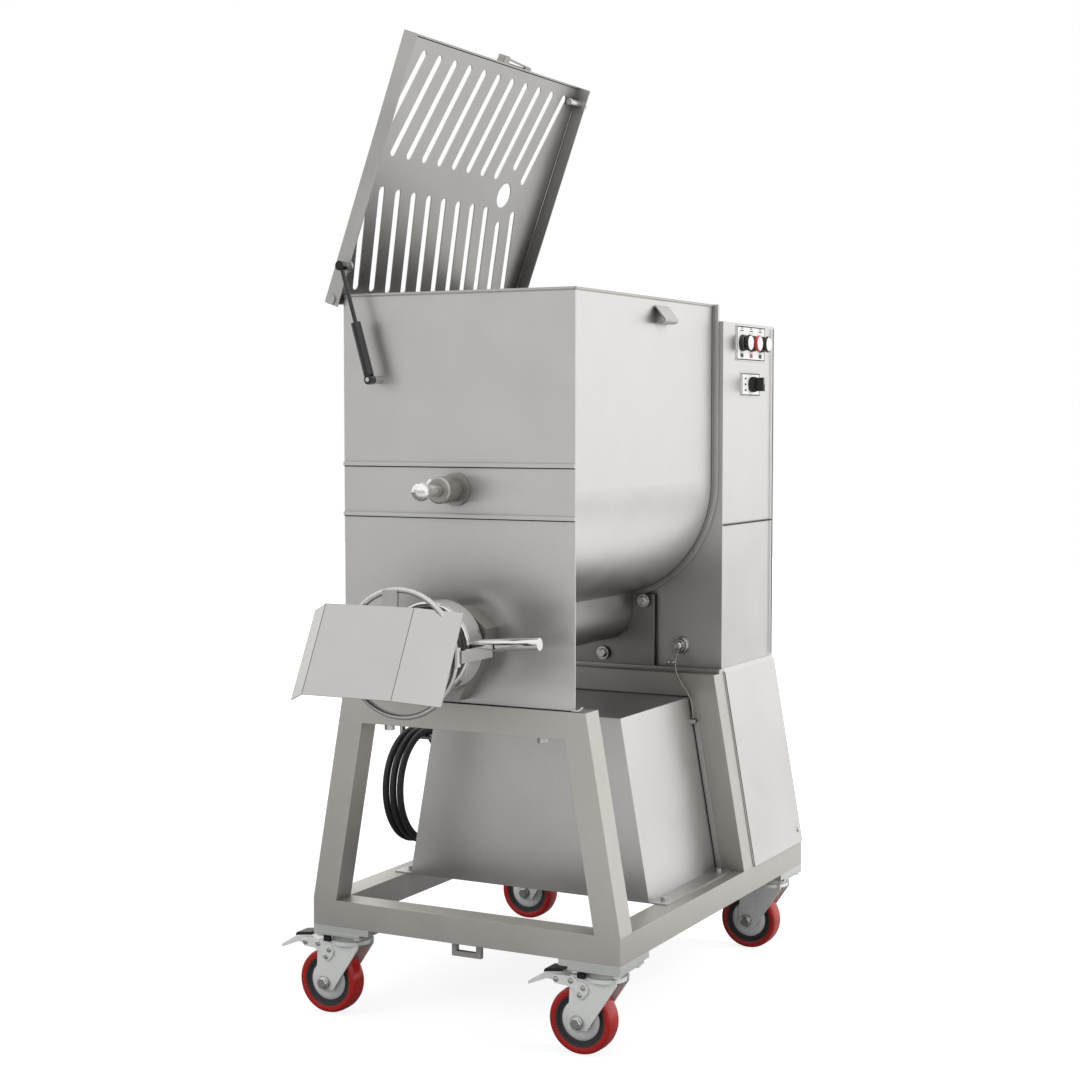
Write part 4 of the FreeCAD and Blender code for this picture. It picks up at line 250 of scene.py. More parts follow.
def linear(hex_colour):
    """An sRGB hex value as linear red, green, blue and alpha."""
    parts = [int(hex_colour[i:i + 2], 16) / 255 for i in (1, 3, 5)]
    return tuple(c / 12.92 if c <= 0.04045 else ((c + 0.055) / 1.055) ** 2.4 for c in parts) + (1.0,)


def new_material(name, **surface):
    """A material with a Principled surface whose plain values are set on its own sockets."""
    material = bpy.data.materials.new(name)
    material.use_nodes = True
    tree = material.node_tree
    tree.nodes.clear()
    shader = add_node(tree, "ShaderNodeBsdfPrincipled", surface)
    add_node(tree, "ShaderNodeOutputMaterial", {"Surface": shader.outputs["BSDF"]})
    return material, tree, shader


def metal(name, pale, dark, rough, grain_mm, run_mm, bump, bare=1.0, corner_shade=0.36):
    """Metal with a grain: rough is the range of roughness, grain and run the size of a mark in mm.

    A coat that scatters some light, such as passivated zinc, is less than fully bare. Corner shade is the
    share of the colour left deep in a corner: painted shade."""
    material, tree, shader = new_material(name, Metallic=bare)
    place = add_node(tree, "ShaderNodeTexCoord").outputs["Object"]
    fine = [1 / (size * MM) for size in grain_mm]
    drawn = add_node(tree, "ShaderNodeVectorMath", {0: place, 1: fine}, operation="MULTIPLY")
    lines = add_node(tree, "ShaderNodeTexNoise", {
        "Vector": drawn.outputs[0], "Scale": 1.0, "Detail": 3.0})
    cloud = add_node(tree, "ShaderNodeTexNoise", {
        "Vector": place, "Scale": 1 / (run_mm * MM), "Detail": 4.0, "Roughness": 0.6})
    mixed = add_node(tree, "ShaderNodeMath", {
        0: lines.outputs["Fac"], 1: cloud.outputs["Fac"]}, operation="MULTIPLY")
    gloss = add_node(tree, "ShaderNodeMapRange", {
        "Value": mixed.outputs[0], "From Min": MARK_RANGE[0], "From Max": MARK_RANGE[1],
        "To Min": rough[0], "To Max": rough[1]})
    tone = add_node(tree, "ShaderNodeMix", {
        "Factor": cloud.outputs["Fac"], COLOUR_A: linear(dark), COLOUR_B: linear(pale)}, data_type="RGBA")
    edge = add_node(tree, "ShaderNodeBevel", {"Radius": EDGE_ROUND}, samples=4)
    relief = add_node(tree, "ShaderNodeBump", {
        "Strength": bump, "Distance": GRAIN_DEPTH, "Height": lines.outputs["Fac"],
        "Normal": edge.outputs[0]})
    # Painted shade: the colour is multiplied down where the occlusion node finds surfaces close by.
    shade_occlusion = add_node(tree, "ShaderNodeAmbientOcclusion", {"Distance": SHADE_REACH}, samples=12)
    shade_factor = add_node(tree, "ShaderNodeMapRange", {
        "Value": shade_occlusion.outputs["AO"], "From Min": SHADE_AO_RANGE[0], "From Max": SHADE_AO_RANGE[1],
        "To Min": corner_shade, "To Max": 1.0})
    shaded_colour = add_node(tree, "ShaderNodeMix", {
        "Factor": 1.0, COLOUR_A: tone.outputs[COLOUR_OUT], COLOUR_B: shade_factor.outputs["Result"]},
        data_type="RGBA", blend_type="MULTIPLY")
    tree.links.new(shaded_colour.outputs[COLOUR_OUT], shader.inputs["Base Color"])
    tree.links.new(gloss.outputs["Result"], shader.inputs["Roughness"])
    tree.links.new(relief.outputs["Normal"], shader.inputs["Normal"])
    return material


print("corners darken within", SHADE_REACH, "m")

# %% [markdown]
# The metals of this machine
#
# Each finish starts from how its surface was made. The rougher the tool, the wider the highlight and
# the darker the steel looks. Zinc and nickel are thin plating on other metals, so they only differ in
# colour and in how cleanly they reflect.

# %% Metals
SHEET_ROUGH = (0.30, 0.44)
# Hopper and cabinet: soft light drawn out upright, with faint clouds from handling.
ground_sheet = metal("belt-ground stainless sheet", "#e6e5e3", "#d6d4d1", SHEET_ROUGH,
                     (1.2, 1.2, 90), 160, 0.10)
# Front panel: ground the other way, so its highlight lies across.
cross_sheet = metal("stainless sheet ground across", "#e0dfdd", "#d0cecb", SHEET_ROUGH,
                    (90, 90, 1.2), 160, 0.10)
# Frame tube: an even, dull and slightly warm grey.
blasted_tube = metal("bead-blasted stainless tube", "#d8d5d0", "#c6c3bd", (0.42, 0.54),
                     (1.5, 1.5, 1.5), 120, 0.12)
# Lid and deflector: greyer than the other sheet.
greyer_sheet = metal("greyer stainless sheet", "#cac9c6", "#bab8b4", SHEET_ROUGH, (90, 90, 1.2), 160, 0.10)
# Head and support: the coarsest grain and the darkest steel.
cast_steel = metal("cast stainless, blasted", "#c2c0bb", "#aaa7a1", (0.36, 0.50), (2.2, 2.2, 2.2), 60, 0.25)
# Ring nut, bars and bolts: nearly mirrors, which show the dark strip as a line.
polished = metal("polished stainless", "#efeeec", "#e3e2df", (0.07, 0.15), (4.0, 4.0, 4.0), 90, 0.03)
# Caster forks and brakes: a milky coat, whitish even in shade.
zinc = metal("bright zinc plate on steel", "#fdfffd", "#f2f5f2", (0.26, 0.38), (20, 20, 20), 60, 0.01,
             bare=0.30, corner_shade=0.74)
# Caster plates: the same coat, more bare so they reflect the grey floor, and painted greyer as painted
# shade.
shaded_zinc = metal("zinc plate on steel with painted shade", "#d8dad8", "#c6c9c6", (0.30, 0.42), (20, 20, 20), 60, 0.01,
                  bare=0.55, corner_shade=0.55)
# Bead chain: a warm, fine-grained shine.
nickel = metal("nickel-plated brass", "#c9c5bb", "#b3aea2", (0.16, 0.28), (1.0, 1.0, 1.0), 12, 0.05)
print("nine metal finishes")

# %% [markdown]
# Plastics, rubber and enamel
#
# These are not metals, so their colour comes from the body of the material and only a thin reflection
# lies on top. Moulded parts take the fine spark-eroded grain of their mould, about 0.3 mm, which is
# drawn at 0.6 mm so that it shows, and the cast polyurethane of a tread has slow changes of tone where
# it was poured.

# %% Plastics and paints
CLOUD_MM = 30
GRAIN_RANGE = (0.3, 0.7)


def coating(name, pale, dark, rough, grain_mm, bump, **surface):
    """Plastic, rubber or paint: two close tones in slow clouds, a grained surface and rounded edges."""
    material, tree, shader = new_material(name, **surface)
    place = add_node(tree, "ShaderNodeTexCoord").outputs["Object"]
    grain = add_node(tree, "ShaderNodeTexNoise", {
        "Vector": place, "Scale": 1 / (grain_mm * MM), "Detail": 2.0})
    cloud = add_node(tree, "ShaderNodeTexNoise", {"Vector": place, "Scale": 1 / (CLOUD_MM * MM)})
    tone = add_node(tree, "ShaderNodeMix", {
        "Factor": cloud.outputs["Fac"], COLOUR_A: linear(dark), COLOUR_B: linear(pale)}, data_type="RGBA")
    gloss = add_node(tree, "ShaderNodeMapRange", {
        "Value": grain.outputs["Fac"], "From Min": GRAIN_RANGE[0], "From Max": GRAIN_RANGE[1],
        "To Min": rough[0], "To Max": rough[1]})
    edge = add_node(tree, "ShaderNodeBevel", {"Radius": EDGE_ROUND}, samples=4)
    relief = add_node(tree, "ShaderNodeBump", {
        "Strength": bump, "Distance": GRAIN_DEPTH, "Height": grain.outputs["Fac"],
        "Normal": edge.outputs[0]})
    tree.links.new(tone.outputs[COLOUR_OUT], shader.inputs["Base Color"])
    tree.links.new(gloss.outputs["Result"], shader.inputs["Roughness"])
    tree.links.new(relief.outputs["Normal"], shader.inputs["Normal"])
    return material


# Treads: deep red, with a soft gloss that slides round the crown.
red_tread = coating("cast red polyurethane", "#b81a17", "#9c130f", (0.22, 0.34), 2.0, 0.08,
                    **{"Coat Weight": 0.2})
# Wheel cores: a dull dark grey that sets off the tread.
dark_core = coating("black enamelled casting", "#3a3b3d", "#2c2d2f", (0.40, 0.55), 1.6, 0.20)
# Knob, pads and collars: satin black.
black_plastic = coating("moulded black ABS", "#1b1b1c", "#141415", (0.38, 0.50), 0.6, 0.15)
# Gas strut: a glossier black with one thin highlight. On the chromed rod this black is painted shade.
black_enamel_and_rod_shade = coating("black stove enamel, painted shade on the rod", "#171718", "#101011", (0.18, 0.28), 2.0, 0.04,
                       **{"Coat Weight": 0.3})
# Stop button: a bright, slightly glossy red.
red_plastic = coating("moulded red ABS", "#c8242a", "#b01c22", (0.30, 0.42), 0.6, 0.10)
# Button faces: a clean warm white.
white_plastic = coating("moulded white ABS", "#f0efec", "#e6e4e0", (0.30, 0.42), 0.6, 0.06)
# Control plates: a flat white that hides the aluminium below it.
white_print = coating("screen-printed aluminium plate", "#e9e9e7", "#dfdfdc", (0.36, 0.48), 0.8, 0.04)
# Cord: matt black, with hardly any highlight.
rubber = coating("black rubber cord jacket", "#1d1d1e", "#151516", (0.50, 0.62), 1.2, 0.15)
# Motor and gearboxes: plain blue-grey machine paint.
grey_enamel = coating("grey machine enamel", "#6f7476", "#62676a", (0.35, 0.48), 1.8, 0.12)
# Gaps between sheets: no light comes back from them.
seam_dark = coating("shadow inside a sheet seam", "#2b2a28", "#201f1d", (0.60, 0.70), 2.0, 0.05)
print("ten coatings")

# %% [markdown]
# Dressing the solids
#
# The shapes of most pieces are already right, so each solid only gets the finish of the real piece. The
# grain of sheet runs the way it went through the grinder: upright on the cabinet and the hopper's side,
# across on the front panel. Solids that a new piece stands for need no finish.

# %% Finishes of the solids
FINISHES = {
    ground_sheet: ["hopper_trough", "hopper_back_plate", "cabinet_body", "rear_cover", "side_skirt_right",
                   "side_skirt_left", "lower_housing"],
    cross_sheet: ["front_panel"],
    greyer_sheet: ["discharge_guard", "lid_panel"],
    blasted_tube: ["front_frame", "rear_frame", "middle_frame", "side_rail_right", "side_rail_left"],
    cast_steel: ["grinder_head", "trough_support", "pin_bush", "lid_latch", "grinding_plate"],
    polished: ["drain_plug", "ring_nut", "bearing_pin", "hinge_rod", "knife", "feed_worm", "mixer_paddle"],
    zinc: [name for name in nodes if name.startswith(("caster_fork_", "brake_pedal_"))],
    # The caster plates' grey colour is painted shade.
    shaded_zinc: [name for name in nodes if name.startswith("caster_mount_")],
    # The strut's rod is chromed steel; its black is painted shade.
    black_enamel_and_rod_shade: ["strut_cylinder", "strut_rod"],
    black_plastic: ["cord_gland", "selector_knob", "button_start", "button_reverse"],
    red_plastic: ["button_stop"],
    white_print: ["button_plate", "selector_plate"],
    grey_enamel: ["worm_gearbox", "paddle_gearbox", "drive_motor"],
    rubber: ["power_plug"],
}
for finish, names in FINISHES.items():
    for name in names:
        nodes[name].data.materials.clear()
        nodes[name].data.materials.append(finish)
print(sum(len(names) for names in FINISHES.values()), "solids dressed")

# %% [markdown]
# Small makers
#
# A few helpers make the pieces that follow, much as a workshop would: a turned form from its half
# outline, a hexagon bolt with its washer, a block with softened edges, a prism between two outlines, and
# a flat plate cut to an outline. Sizes are in millimetres; only the place of a turned form or a bolt is
# in metres.

# %% Makers of turned forms, bolts, blocks and plates
SHARP = math.radians(35)
AXIS = 0.05
WASHER_THICK = 1.4
CHAMFER_IN, CHAMFER_UP = 1.2, 0.8


def finish_piece(mesh, name, material, body, smooth=True):
    """Turn a bmesh into a piece that rides on a body."""
    bmesh.ops.recalc_face_normals(mesh, faces=mesh.faces)
    data = bpy.data.meshes.new(name)
    mesh.to_mesh(data)
    mesh.free()
    item = bpy.data.objects.new(name, data)
    bpy.context.scene.collection.objects.link(item)
    data.materials.append(material)
    if smooth:
        data.polygons.foreach_set("use_smooth", [True] * len(data.polygons))
        data.set_sharp_from_angle(angle=SHARP)
    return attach(item, body)


def along(place, direction):
    """A matrix that carries local Z to a direction at a place."""
    turn = Vector((0, 0, 1)).rotation_difference(Vector(direction)).to_matrix().to_4x4()
    return Matrix.Translation(place) @ turn


def add_turned(mesh, profile, place, direction, steps=48):
    """Add a closed turned form: the profile is radius and height, and its ends stay off the axis."""
    rings = []
    matrix = along(place, direction)
    for radius, height in profile:
        ring = []
        for step in range(steps):
            angle = 2 * math.pi * step / steps
            spot = Vector((radius * math.cos(angle), radius * math.sin(angle), height)) * MM
            ring.append(mesh.verts.new(matrix @ spot))
        rings.append(ring)
    for ring, following in zip(rings, rings[1:] + rings[:1]):
        for step in range(steps):
            after = (step + 1) % steps
            mesh.faces.new((ring[step], ring[after], following[after], following[step]))


def add_bolt(mesh, place, direction, size):
    """Add a hexagon head: size is its width across flats, its height and its washer's radius."""
    across, height, washer = size
    corner = across / math.sqrt(3)
    top = height + CHAMFER_UP
    ring = [(AXIS, 0), (washer, 0), (washer, WASHER_THICK), (AXIS, WASHER_THICK)]
    add_turned(mesh, ring, place, direction, 28)
    head = [(AXIS, WASHER_THICK), (corner, WASHER_THICK), (corner, height), (corner - CHAMFER_IN, top),
            (AXIS, top)]
    add_turned(mesh, head, place, direction, 6)


def add_block(mesh, low, high, soften):
    """Add a block between two corners, with softened edges."""
    made = bmesh.ops.create_cube(mesh, size=1)["verts"]
    low, high = Vector(low) * MM, Vector(high) * MM
    for vert in made:
        vert.co = Vector([(low[i] + high[i]) / 2 + vert.co[i] * (high[i] - low[i]) for i in range(3)])
    edges = dict.fromkeys(edge for vert in made for edge in vert.link_edges)
    bmesh.ops.bevel(mesh, geom=list(edges), offset=soften * MM, segments=2, affect="EDGES")


def add_prism(mesh, near, far):
    """Add a prism between two equal rings of points."""
    rings = [[mesh.verts.new(Vector(point) * MM) for point in ring] for ring in (near, far)]
    for ring in rings:
        mesh.faces.new(ring)
    for step in range(len(near)):
        after = (step + 1) % len(near)
        mesh.faces.new((rings[0][step], rings[0][after], rings[1][after], rings[1][step]))


def add_plate(mesh, outline, near, far):
    """Add a flat plate: an outline of x and z, between two places in y."""
    add_prism(mesh, [(x, near, z) for x, z in outline], [(x, far, z) for x, z in outline])


def box_mm(name):
    """The lowest and highest corners of a solid, in millimetres."""
    return [1000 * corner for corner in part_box(name)]


def middle_of(name):
    """The middle of a solid's box, in metres."""
    low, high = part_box(name)
    return (low + high) / 2


print("makers ready")

# %% [markdown]
# Power cord
#
# The cord leaves a gland on the frame's left leg, makes three loose loops over a hook on the housing
# and ends in its plug. A cord is one length of rubber, so it is one smooth spline through the same
# points as its solid. Control points of a loop lie a little outside the loop, because the spline cuts
# their corners.

# %% Cord
CORD_RADIUS = 7 * MM
COIL_MIDDLE = Vector((-283, -97, 398)) * MM
COIL_RADIUS = 113 * MM
COIL_PITCH = 17 * MM
COIL_TURNS = 2.75
COIL_POINTS = 16
GLAND_FACE = Vector((-292, 103, 285)) * MM
LEAD_OUT = Vector((0, -62, 0)) * MM
LEAD_RUN, TAIL_RUN = 58 * MM, 32 * MM
TAIL_DROPS = (Vector((-15, 1, -68)) * MM, Vector((-22, 2, -100)) * MM)


def coil_spot(turn, radius):
    """The place on the coil after a number of turns, at a radius."""
    angle = 2 * math.pi * turn
    spot = Vector((-COIL_PITCH * turn, -radius * math.sin(angle), -radius * math.cos(angle)))
    return COIL_MIDDLE + spot


def coil_way(turn):
    """The direction in which the coil runs after a number of turns."""
    angle = 2 * math.pi * turn
    sideways = -COIL_PITCH / (2 * math.pi)
    way = Vector((sideways, -COIL_RADIUS * math.cos(angle), COIL_RADIUS * math.sin(angle)))
    return way.normalized()


lead_end = coil_spot(0, COIL_RADIUS) - coil_way(0) * 2 * CORD_RADIUS
inside_share = 0.75 + 0.25 * math.cos(2 * math.pi / COIL_POINTS)
outer = COIL_RADIUS / inside_share
tail_start = coil_spot(COIL_TURNS, COIL_RADIUS) + coil_way(COIL_TURNS) * 2 * CORD_RADIUS
route = [GLAND_FACE, GLAND_FACE + LEAD_OUT, lead_end - coil_way(0) * LEAD_RUN]
for step in range(round(COIL_TURNS * COIL_POINTS)):
    route.append(coil_spot((step + 0.5) / COIL_POINTS, outer))
route.append(tail_start + coil_way(COIL_TURNS) * TAIL_RUN)
route += [tail_start + drop for drop in TAIL_DROPS]


def smooth_line(name, points, radius):
    """A round cord along one smooth spline."""
    curve = bpy.data.curves.new(name, "CURVE")
    curve.dimensions = "3D"
    spline = curve.splines.new("NURBS")
    spline.points.add(len(points) - 1)
    for point, spot in zip(spline.points, points):
        point.co = (*spot, 1)
    spline.order_u = 3
    spline.use_endpoint_u = True
    spline.resolution_u = 8
    curve.bevel_depth = radius
    curve.bevel_resolution = 5
    curve.use_fill_caps = True
    item = bpy.data.objects.new(name, curve)
    bpy.context.scene.collection.objects.link(item)
    return item


def line_points(item):
    """The points of a curve's centre line."""
    bare = item.data.copy()
    bare.bevel_depth = 0
    holder = bpy.data.objects.new("bare_line", bare)
    mesh = bpy.data.meshes.new_from_object(holder)
    points = [vert.co.copy() for vert in mesh.vertices]
    bpy.data.objects.remove(holder)
    return points


cord = smooth_line("power_cord", route, CORD_RADIUS)
cord.data.materials.append(rubber)
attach(cord, "chassis")
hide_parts("cord_lead", "cord_coil", "cord_tail")
cord_line = line_points(cord)

# %% [markdown]
# Wheels
#
# A heavy-duty caster wheel has a red polyurethane tread cast on to a black iron core, and a pressed zinc
# dust cover over the bearing. The solid is one bonded wheel, so three turned forms take its place: the
# crowned tread, the core with its drawn-in web and the covers.

# %% Wheel treads, cores and covers
CORNERS = ["front_right", "front_left", "rear_right", "rear_left"]
TREAD = [(50, -19), (55, -20), (58.5, -20), (61.5, -18), (63, -13), (63.5, -7), (63.5, 7), (63, 13),
         (61.5, 18), (58.5, 20), (55, 20), (50, 19), (48.5, 14), (48.5, -14)]
CORE = [(35, -12), (44, -13), (46.5, -18), (50, -18.6), (50, 18.6), (46.5, 18), (44, 13), (35, 12),
        (17, 12), (16.5, 24), (6.3, 24), (6.3, -24), (16.5, -24), (17, -12)]
COVER = [(17.2, 17), (26, 17.6), (34, 16.4), (38, 13.4), (38, 12.6), (34, 15.4), (26, 16.6), (17.2, 16)]
for corner in CORNERS:
    middle = middle_of("caster_wheel_" + corner)
    body = "wheel_" + corner
    tread, core, cover = bmesh.new(), bmesh.new(), bmesh.new()
    add_turned(tread, TREAD, middle, (0, 1, 0), 96)
    add_turned(core, CORE, middle, (0, 1, 0), 72)
    for side in (1, -1):
        add_turned(cover, COVER, middle, (0, side, 0), 64)
    tread = finish_piece(tread, "tread_" + corner, red_tread, body)
    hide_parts("caster_wheel_" + corner)
    finish_piece(core, "wheel_core_" + corner, dark_core, body)
    finish_piece(cover, "dust_cover_" + corner, zinc, body)
print("four wheels")

# %% [markdown]
# Caster fasteners
#
# Each axle ends in a lock nut, and each caster plate is bolted at its corners from below. They are tiny,
# but a machine without them looks like a toy, and each one catches a spot of light.

# %% Axle nuts and plate bolts
AXLE_NUT, PLATE_BOLT = (19, 8, 13), (13, 5, 9)
NUT_SINK = 8 * MM
SWIVEL_TRAIL = 44 * MM
PLATE_REACH, PLATE_UNDER = 42 * MM, 14 * MM
for corner in CORNERS:
    low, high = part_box("caster_fork_" + corner)
    axle = middle_of("caster_wheel_" + corner)
    nuts = bmesh.new()
    for side, end in ((-1, low.y), (1, high.y)):
        add_bolt(nuts, Vector((axle.x, end - side * NUT_SINK, axle.z)), (0, side, 0), AXLE_NUT)
    finish_piece(nuts, "axle_nuts_" + corner, polished, "fork_" + corner)
    bolt_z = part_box("caster_mount_" + corner)[0].z + PLATE_UNDER
    swivel = Vector((axle.x + SWIVEL_TRAIL, axle.y, bolt_z))
    bolts = bmesh.new()
    for dx in (-1, 1):
        for dy in (-1, 1):
            add_bolt(bolts, swivel + Vector((dx, dy, 0)) * PLATE_REACH, (0, 0, -1), PLATE_BOLT)
    finish_piece(bolts, "plate_bolts_" + corner, zinc, "chassis")
print("nuts and bolts on", len(CORNERS), "casters")

# %% [markdown]
# Frame and cover fasteners
#
# Two bolts hang below the front beam, two hold the trough's support, and one small screw holds each
# leaning side skirt. The skirt's screw stands square to its sheet, so its direction follows the lean.

# %% Frame bolts and skirt screws
BEAM_BOLT, SUPPORT_BOLT, SKIRT_SCREW = (17, 12, 11), (17, 9, 14), (8, 2.5, 6)
TUBE = 51 * MM
# The worm, the bowl and the ring nut share this middle plane.
MID_X = -9.5
BEAM_BOLT_X, BEAM_BOLT_Y = (-167, 160), -440
SUPPORT_IN, SUPPORT_DOWN, SUPPORT_PROUD = 21 * MM, 13 * MM, 0.5 * MM
SKIRT_TOP_X, SCREW_Y, SCREW_Z = 261 * MM, 446 * MM, 262 * MM
frame_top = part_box("front_frame")[1].z
hanging = bmesh.new()
for x in BEAM_BOLT_X:
    add_bolt(hanging, Vector((x * MM, BEAM_BOLT_Y * MM, frame_top - TUBE)), (0, 0, -1), BEAM_BOLT)
finish_piece(hanging, "beam_bolts", polished, "chassis")

low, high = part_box("trough_support")
support_bolts = bmesh.new()
for x, z in ((high.x - SUPPORT_IN, high.z - SUPPORT_DOWN), (MID_X * MM, low.z + SUPPORT_IN)):
    add_bolt(support_bolts, Vector((x, low.y - SUPPORT_PROUD, z)), (0, -1, 0), SUPPORT_BOLT)
finish_piece(support_bolts, "support_bolts", polished, "chassis")

low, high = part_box("side_skirt_right")
rise, lean = frame_top - low.z, high.x - SKIRT_TOP_X
screw_x = high.x - lean * (SCREW_Z - low.z) / rise
screws = bmesh.new()
for side in (1, -1):
    outward = Vector((side * rise, 0, lean)).normalized()
    add_bolt(screws, Vector((side * screw_x, SCREW_Y, SCREW_Z)), outward, SKIRT_SCREW)
finish_piece(screws, "skirt_screws", polished, "chassis")
print("frame bolts and skirt screws done")

# %% [markdown]
# Sheet seams
#
# Where two sheets meet there is a dark line as wide as the gap. The lines are thin dark strips let into
# the sheet: on the cabinet's sides, across the front panel, and round the bowl where it meets the back
# plate. A strip below the rim is painted shadow, the shadow of the hem. The bowl's line stops at the
# worm channel, which covers its lowest part.

# %% Cabinet, panel and bowl seams
# Strips are let into the sheet by 1 mm or less and stand proud of it by half a millimetre at most.
HAIR = 0.05
LEVEL_SEAM, UPRIGHT_SEAM, COVER_EDGE = (937, 939.8), (645, 1352), (12, 10)
WALL_Y = 178.5
PANEL_Y, PANEL_SIDES = -458, (-253.4, 234.4)
PANEL_SEAMS, PANEL_SEAM_WIDTH = (633.2, 973.4, 1067.4), 2
RIM_SHADOW, RIM_SHADOW_RUN = (1386, 1388.6), (-452, 168)
BOWL_Z, BOWL_RADIUS, BOWL_STEPS = 1028, 244, 48
BOWL_SEAM = (163, 165)
CHANNEL_SHARE = 0.40


def bowl_arc(radius):
    """The lower half of the bowl's circle as x and z."""
    angles = [math.pi * step / BOWL_STEPS for step in range(BOWL_STEPS + 1)]
    return [(MID_X + radius * math.cos(angle), BOWL_Z - radius * math.sin(angle)) for angle in angles]


cabinet_high = box_mm("cabinet_body")[1]
cover_y = [cabinet_high.y - edge for edge in COVER_EDGE]
seams = bmesh.new()
for side in (1, -1):
    across = sorted((side * (cabinet_high.x - 1), side * (cabinet_high.x + 0.25)))
    add_block(seams, (across[0], WALL_Y, LEVEL_SEAM[0]), (across[1], cover_y[0], LEVEL_SEAM[1]), HAIR)
    add_block(seams, (across[0], cover_y[0], UPRIGHT_SEAM[0]),
              (across[1], cover_y[1], UPRIGHT_SEAM[1]), HAIR)
for z in PANEL_SEAMS:
    add_block(seams, (PANEL_SIDES[0], PANEL_Y - 0.4, z),
              (PANEL_SIDES[1], PANEL_Y + 0.6, z + PANEL_SEAM_WIDTH), HAIR)
# Painted shadow: a dark strip just below the rim stands for the hem's shadow.
add_block(seams, (PANEL_SIDES[1] - 1, RIM_SHADOW_RUN[0], RIM_SHADOW[0]),
          (PANEL_SIDES[1] + 0.4, RIM_SHADOW_RUN[1], RIM_SHADOW[1]), HAIR)
outside, within = bowl_arc(BOWL_RADIUS + 0.5), bowl_arc(BOWL_RADIUS - 1)
for start in range(BOWL_STEPS):
    aside = math.cos(math.pi * start / BOWL_STEPS) + math.cos(math.pi * (start + 1) / BOWL_STEPS)
    if abs(aside) >= 2 * CHANNEL_SHARE:
        piece = [outside[start], outside[start + 1], within[start + 1], within[start]]
        add_plate(seams, piece, *BOWL_SEAM)
for side in (1, -1):
    edge = MID_X + side * BOWL_RADIUS
    across = sorted((edge - side, edge + 0.5 * side))
    add_block(seams, (across[0], BOWL_SEAM[0], BOWL_Z), (across[1], BOWL_SEAM[1], RIM_SHADOW[0]), HAIR)
finish_piece(seams, "cabinet_seams_and_rim_shadow", seam_dark, "chassis", smooth=False)
print("cabinet, panel and bowl seams done")

# %% [markdown]
# Housing edges and leg welds
#
# The lower housing's back edges turn outward on to the middle frame, with a dark gap beside the bend and
# along the top. A weld runs down behind each leg. All of them follow the lean of the legs, so each is a
# flat plate cut to a leaning outline and mirrored.

# %% Housing lips, seams and welds
FRAME_Y = 127
HOUSING_FOOT, HOUSING_TOP, HOUSING_LIP = (266, 234), (204, 585), 13
LEG_FOOT, LEG_TOP = (327.5, 236), (258, 633)
WELD_IN, WELD_OUT, WELD_Y = 4, 1.4, (FRAME_Y + 50, FRAME_Y + 53.6)
GAP = 2
LIP_LINE = [HOUSING_FOOT, (HOUSING_FOOT[0] + HOUSING_LIP, HOUSING_FOOT[1] + 2.5),
            (HOUSING_TOP[0] + HOUSING_LIP, HOUSING_TOP[1] - 3), (HOUSING_TOP[0], HOUSING_TOP[1] - 1)]
EDGE_LINE = [HOUSING_FOOT, (HOUSING_FOOT[0] + GAP, HOUSING_FOOT[1]), (HOUSING_TOP[0] + GAP, HOUSING_TOP[1]),
             HOUSING_TOP]
WELD_LINE = [(LEG_FOOT[0] - WELD_IN, LEG_FOOT[1]), (LEG_FOOT[0] + WELD_OUT, LEG_FOOT[1]),
             (LEG_TOP[0] + WELD_OUT, LEG_TOP[1]), (LEG_TOP[0] - WELD_IN, LEG_TOP[1])]


def add_pair(mesh, outline, near, far):
    """Add a flat plate on the right and its mirror image on the left."""
    for side in (1, -1):
        add_plate(mesh, [(side * x, z) for x, z in outline], near, far)


lips, edges, welds = bmesh.new(), bmesh.new(), bmesh.new()
add_pair(lips, LIP_LINE, FRAME_Y - 2, FRAME_Y - 0.1)
add_block(edges, (-HOUSING_TOP[0], FRAME_Y - 0.8, HOUSING_TOP[1] - 0.5),
          (HOUSING_TOP[0], FRAME_Y + 0.2, HOUSING_TOP[1] + GAP), HAIR)
add_pair(edges, EDGE_LINE, FRAME_Y - 2.5, FRAME_Y - 1.9)
add_pair(welds, WELD_LINE, *WELD_Y)
finish_piece(lips, "housing_lips", ground_sheet, "chassis")
finish_piece(edges, "housing_seams", seam_dark, "chassis", smooth=False)
finish_piece(welds, "leg_welds", blasted_tube, "chassis")
print("housing edges and leg welds done")

# %% [markdown]
# Panel tab, lid catch and the hopper's rim
#
# A small polished tab curls up at the front panel's lower corner. The lid's catch is one folded strip,
# so it is drawn as the strip's edge and given its width. The top of the hopper is folded over into a
# rounded hem, here a rounded bar that follows the rim.

# %% Tab, catch and hem
TAB = [(228, 634.4), (241, 634.4), (247, 637), (250, 642), (247.4, 643), (245, 639), (240, 637.2),
       (228, 637.2)]
CATCH = [(0, 0), (16, 0), (23.5, 4), (23.5, 9), (3, 34), (0, 34), (0, 31), (2, 31), (20.5, 8),
         (20.5, 6), (15, 3), (0, 3)]
CATCH_INSET, CATCH_WIDTH = 29, 62
HEM_DEEP, HEM_HALF, HEM_ROUND = 6, 2.5, 1.8
HEM_FRONT, HEM_BACK, HEM_TURN, HEM_END = 6, 2, 4, 170
tab = bmesh.new()
add_plate(tab, TAB, PANEL_Y - 1.5, PANEL_Y + 5)
finish_piece(tab, "panel_tab", polished, "chassis")

low = box_mm("lid_catch")[0]
catch_y = low.y + CATCH_INSET
catch = bmesh.new()
add_plate(catch, [(low.x + x, low.z + z) for x, z in CATCH], catch_y, catch_y + CATCH_WIDTH)
catch = finish_piece(catch, "catch_plate", greyer_sheet, "chassis")
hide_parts("lid_catch")

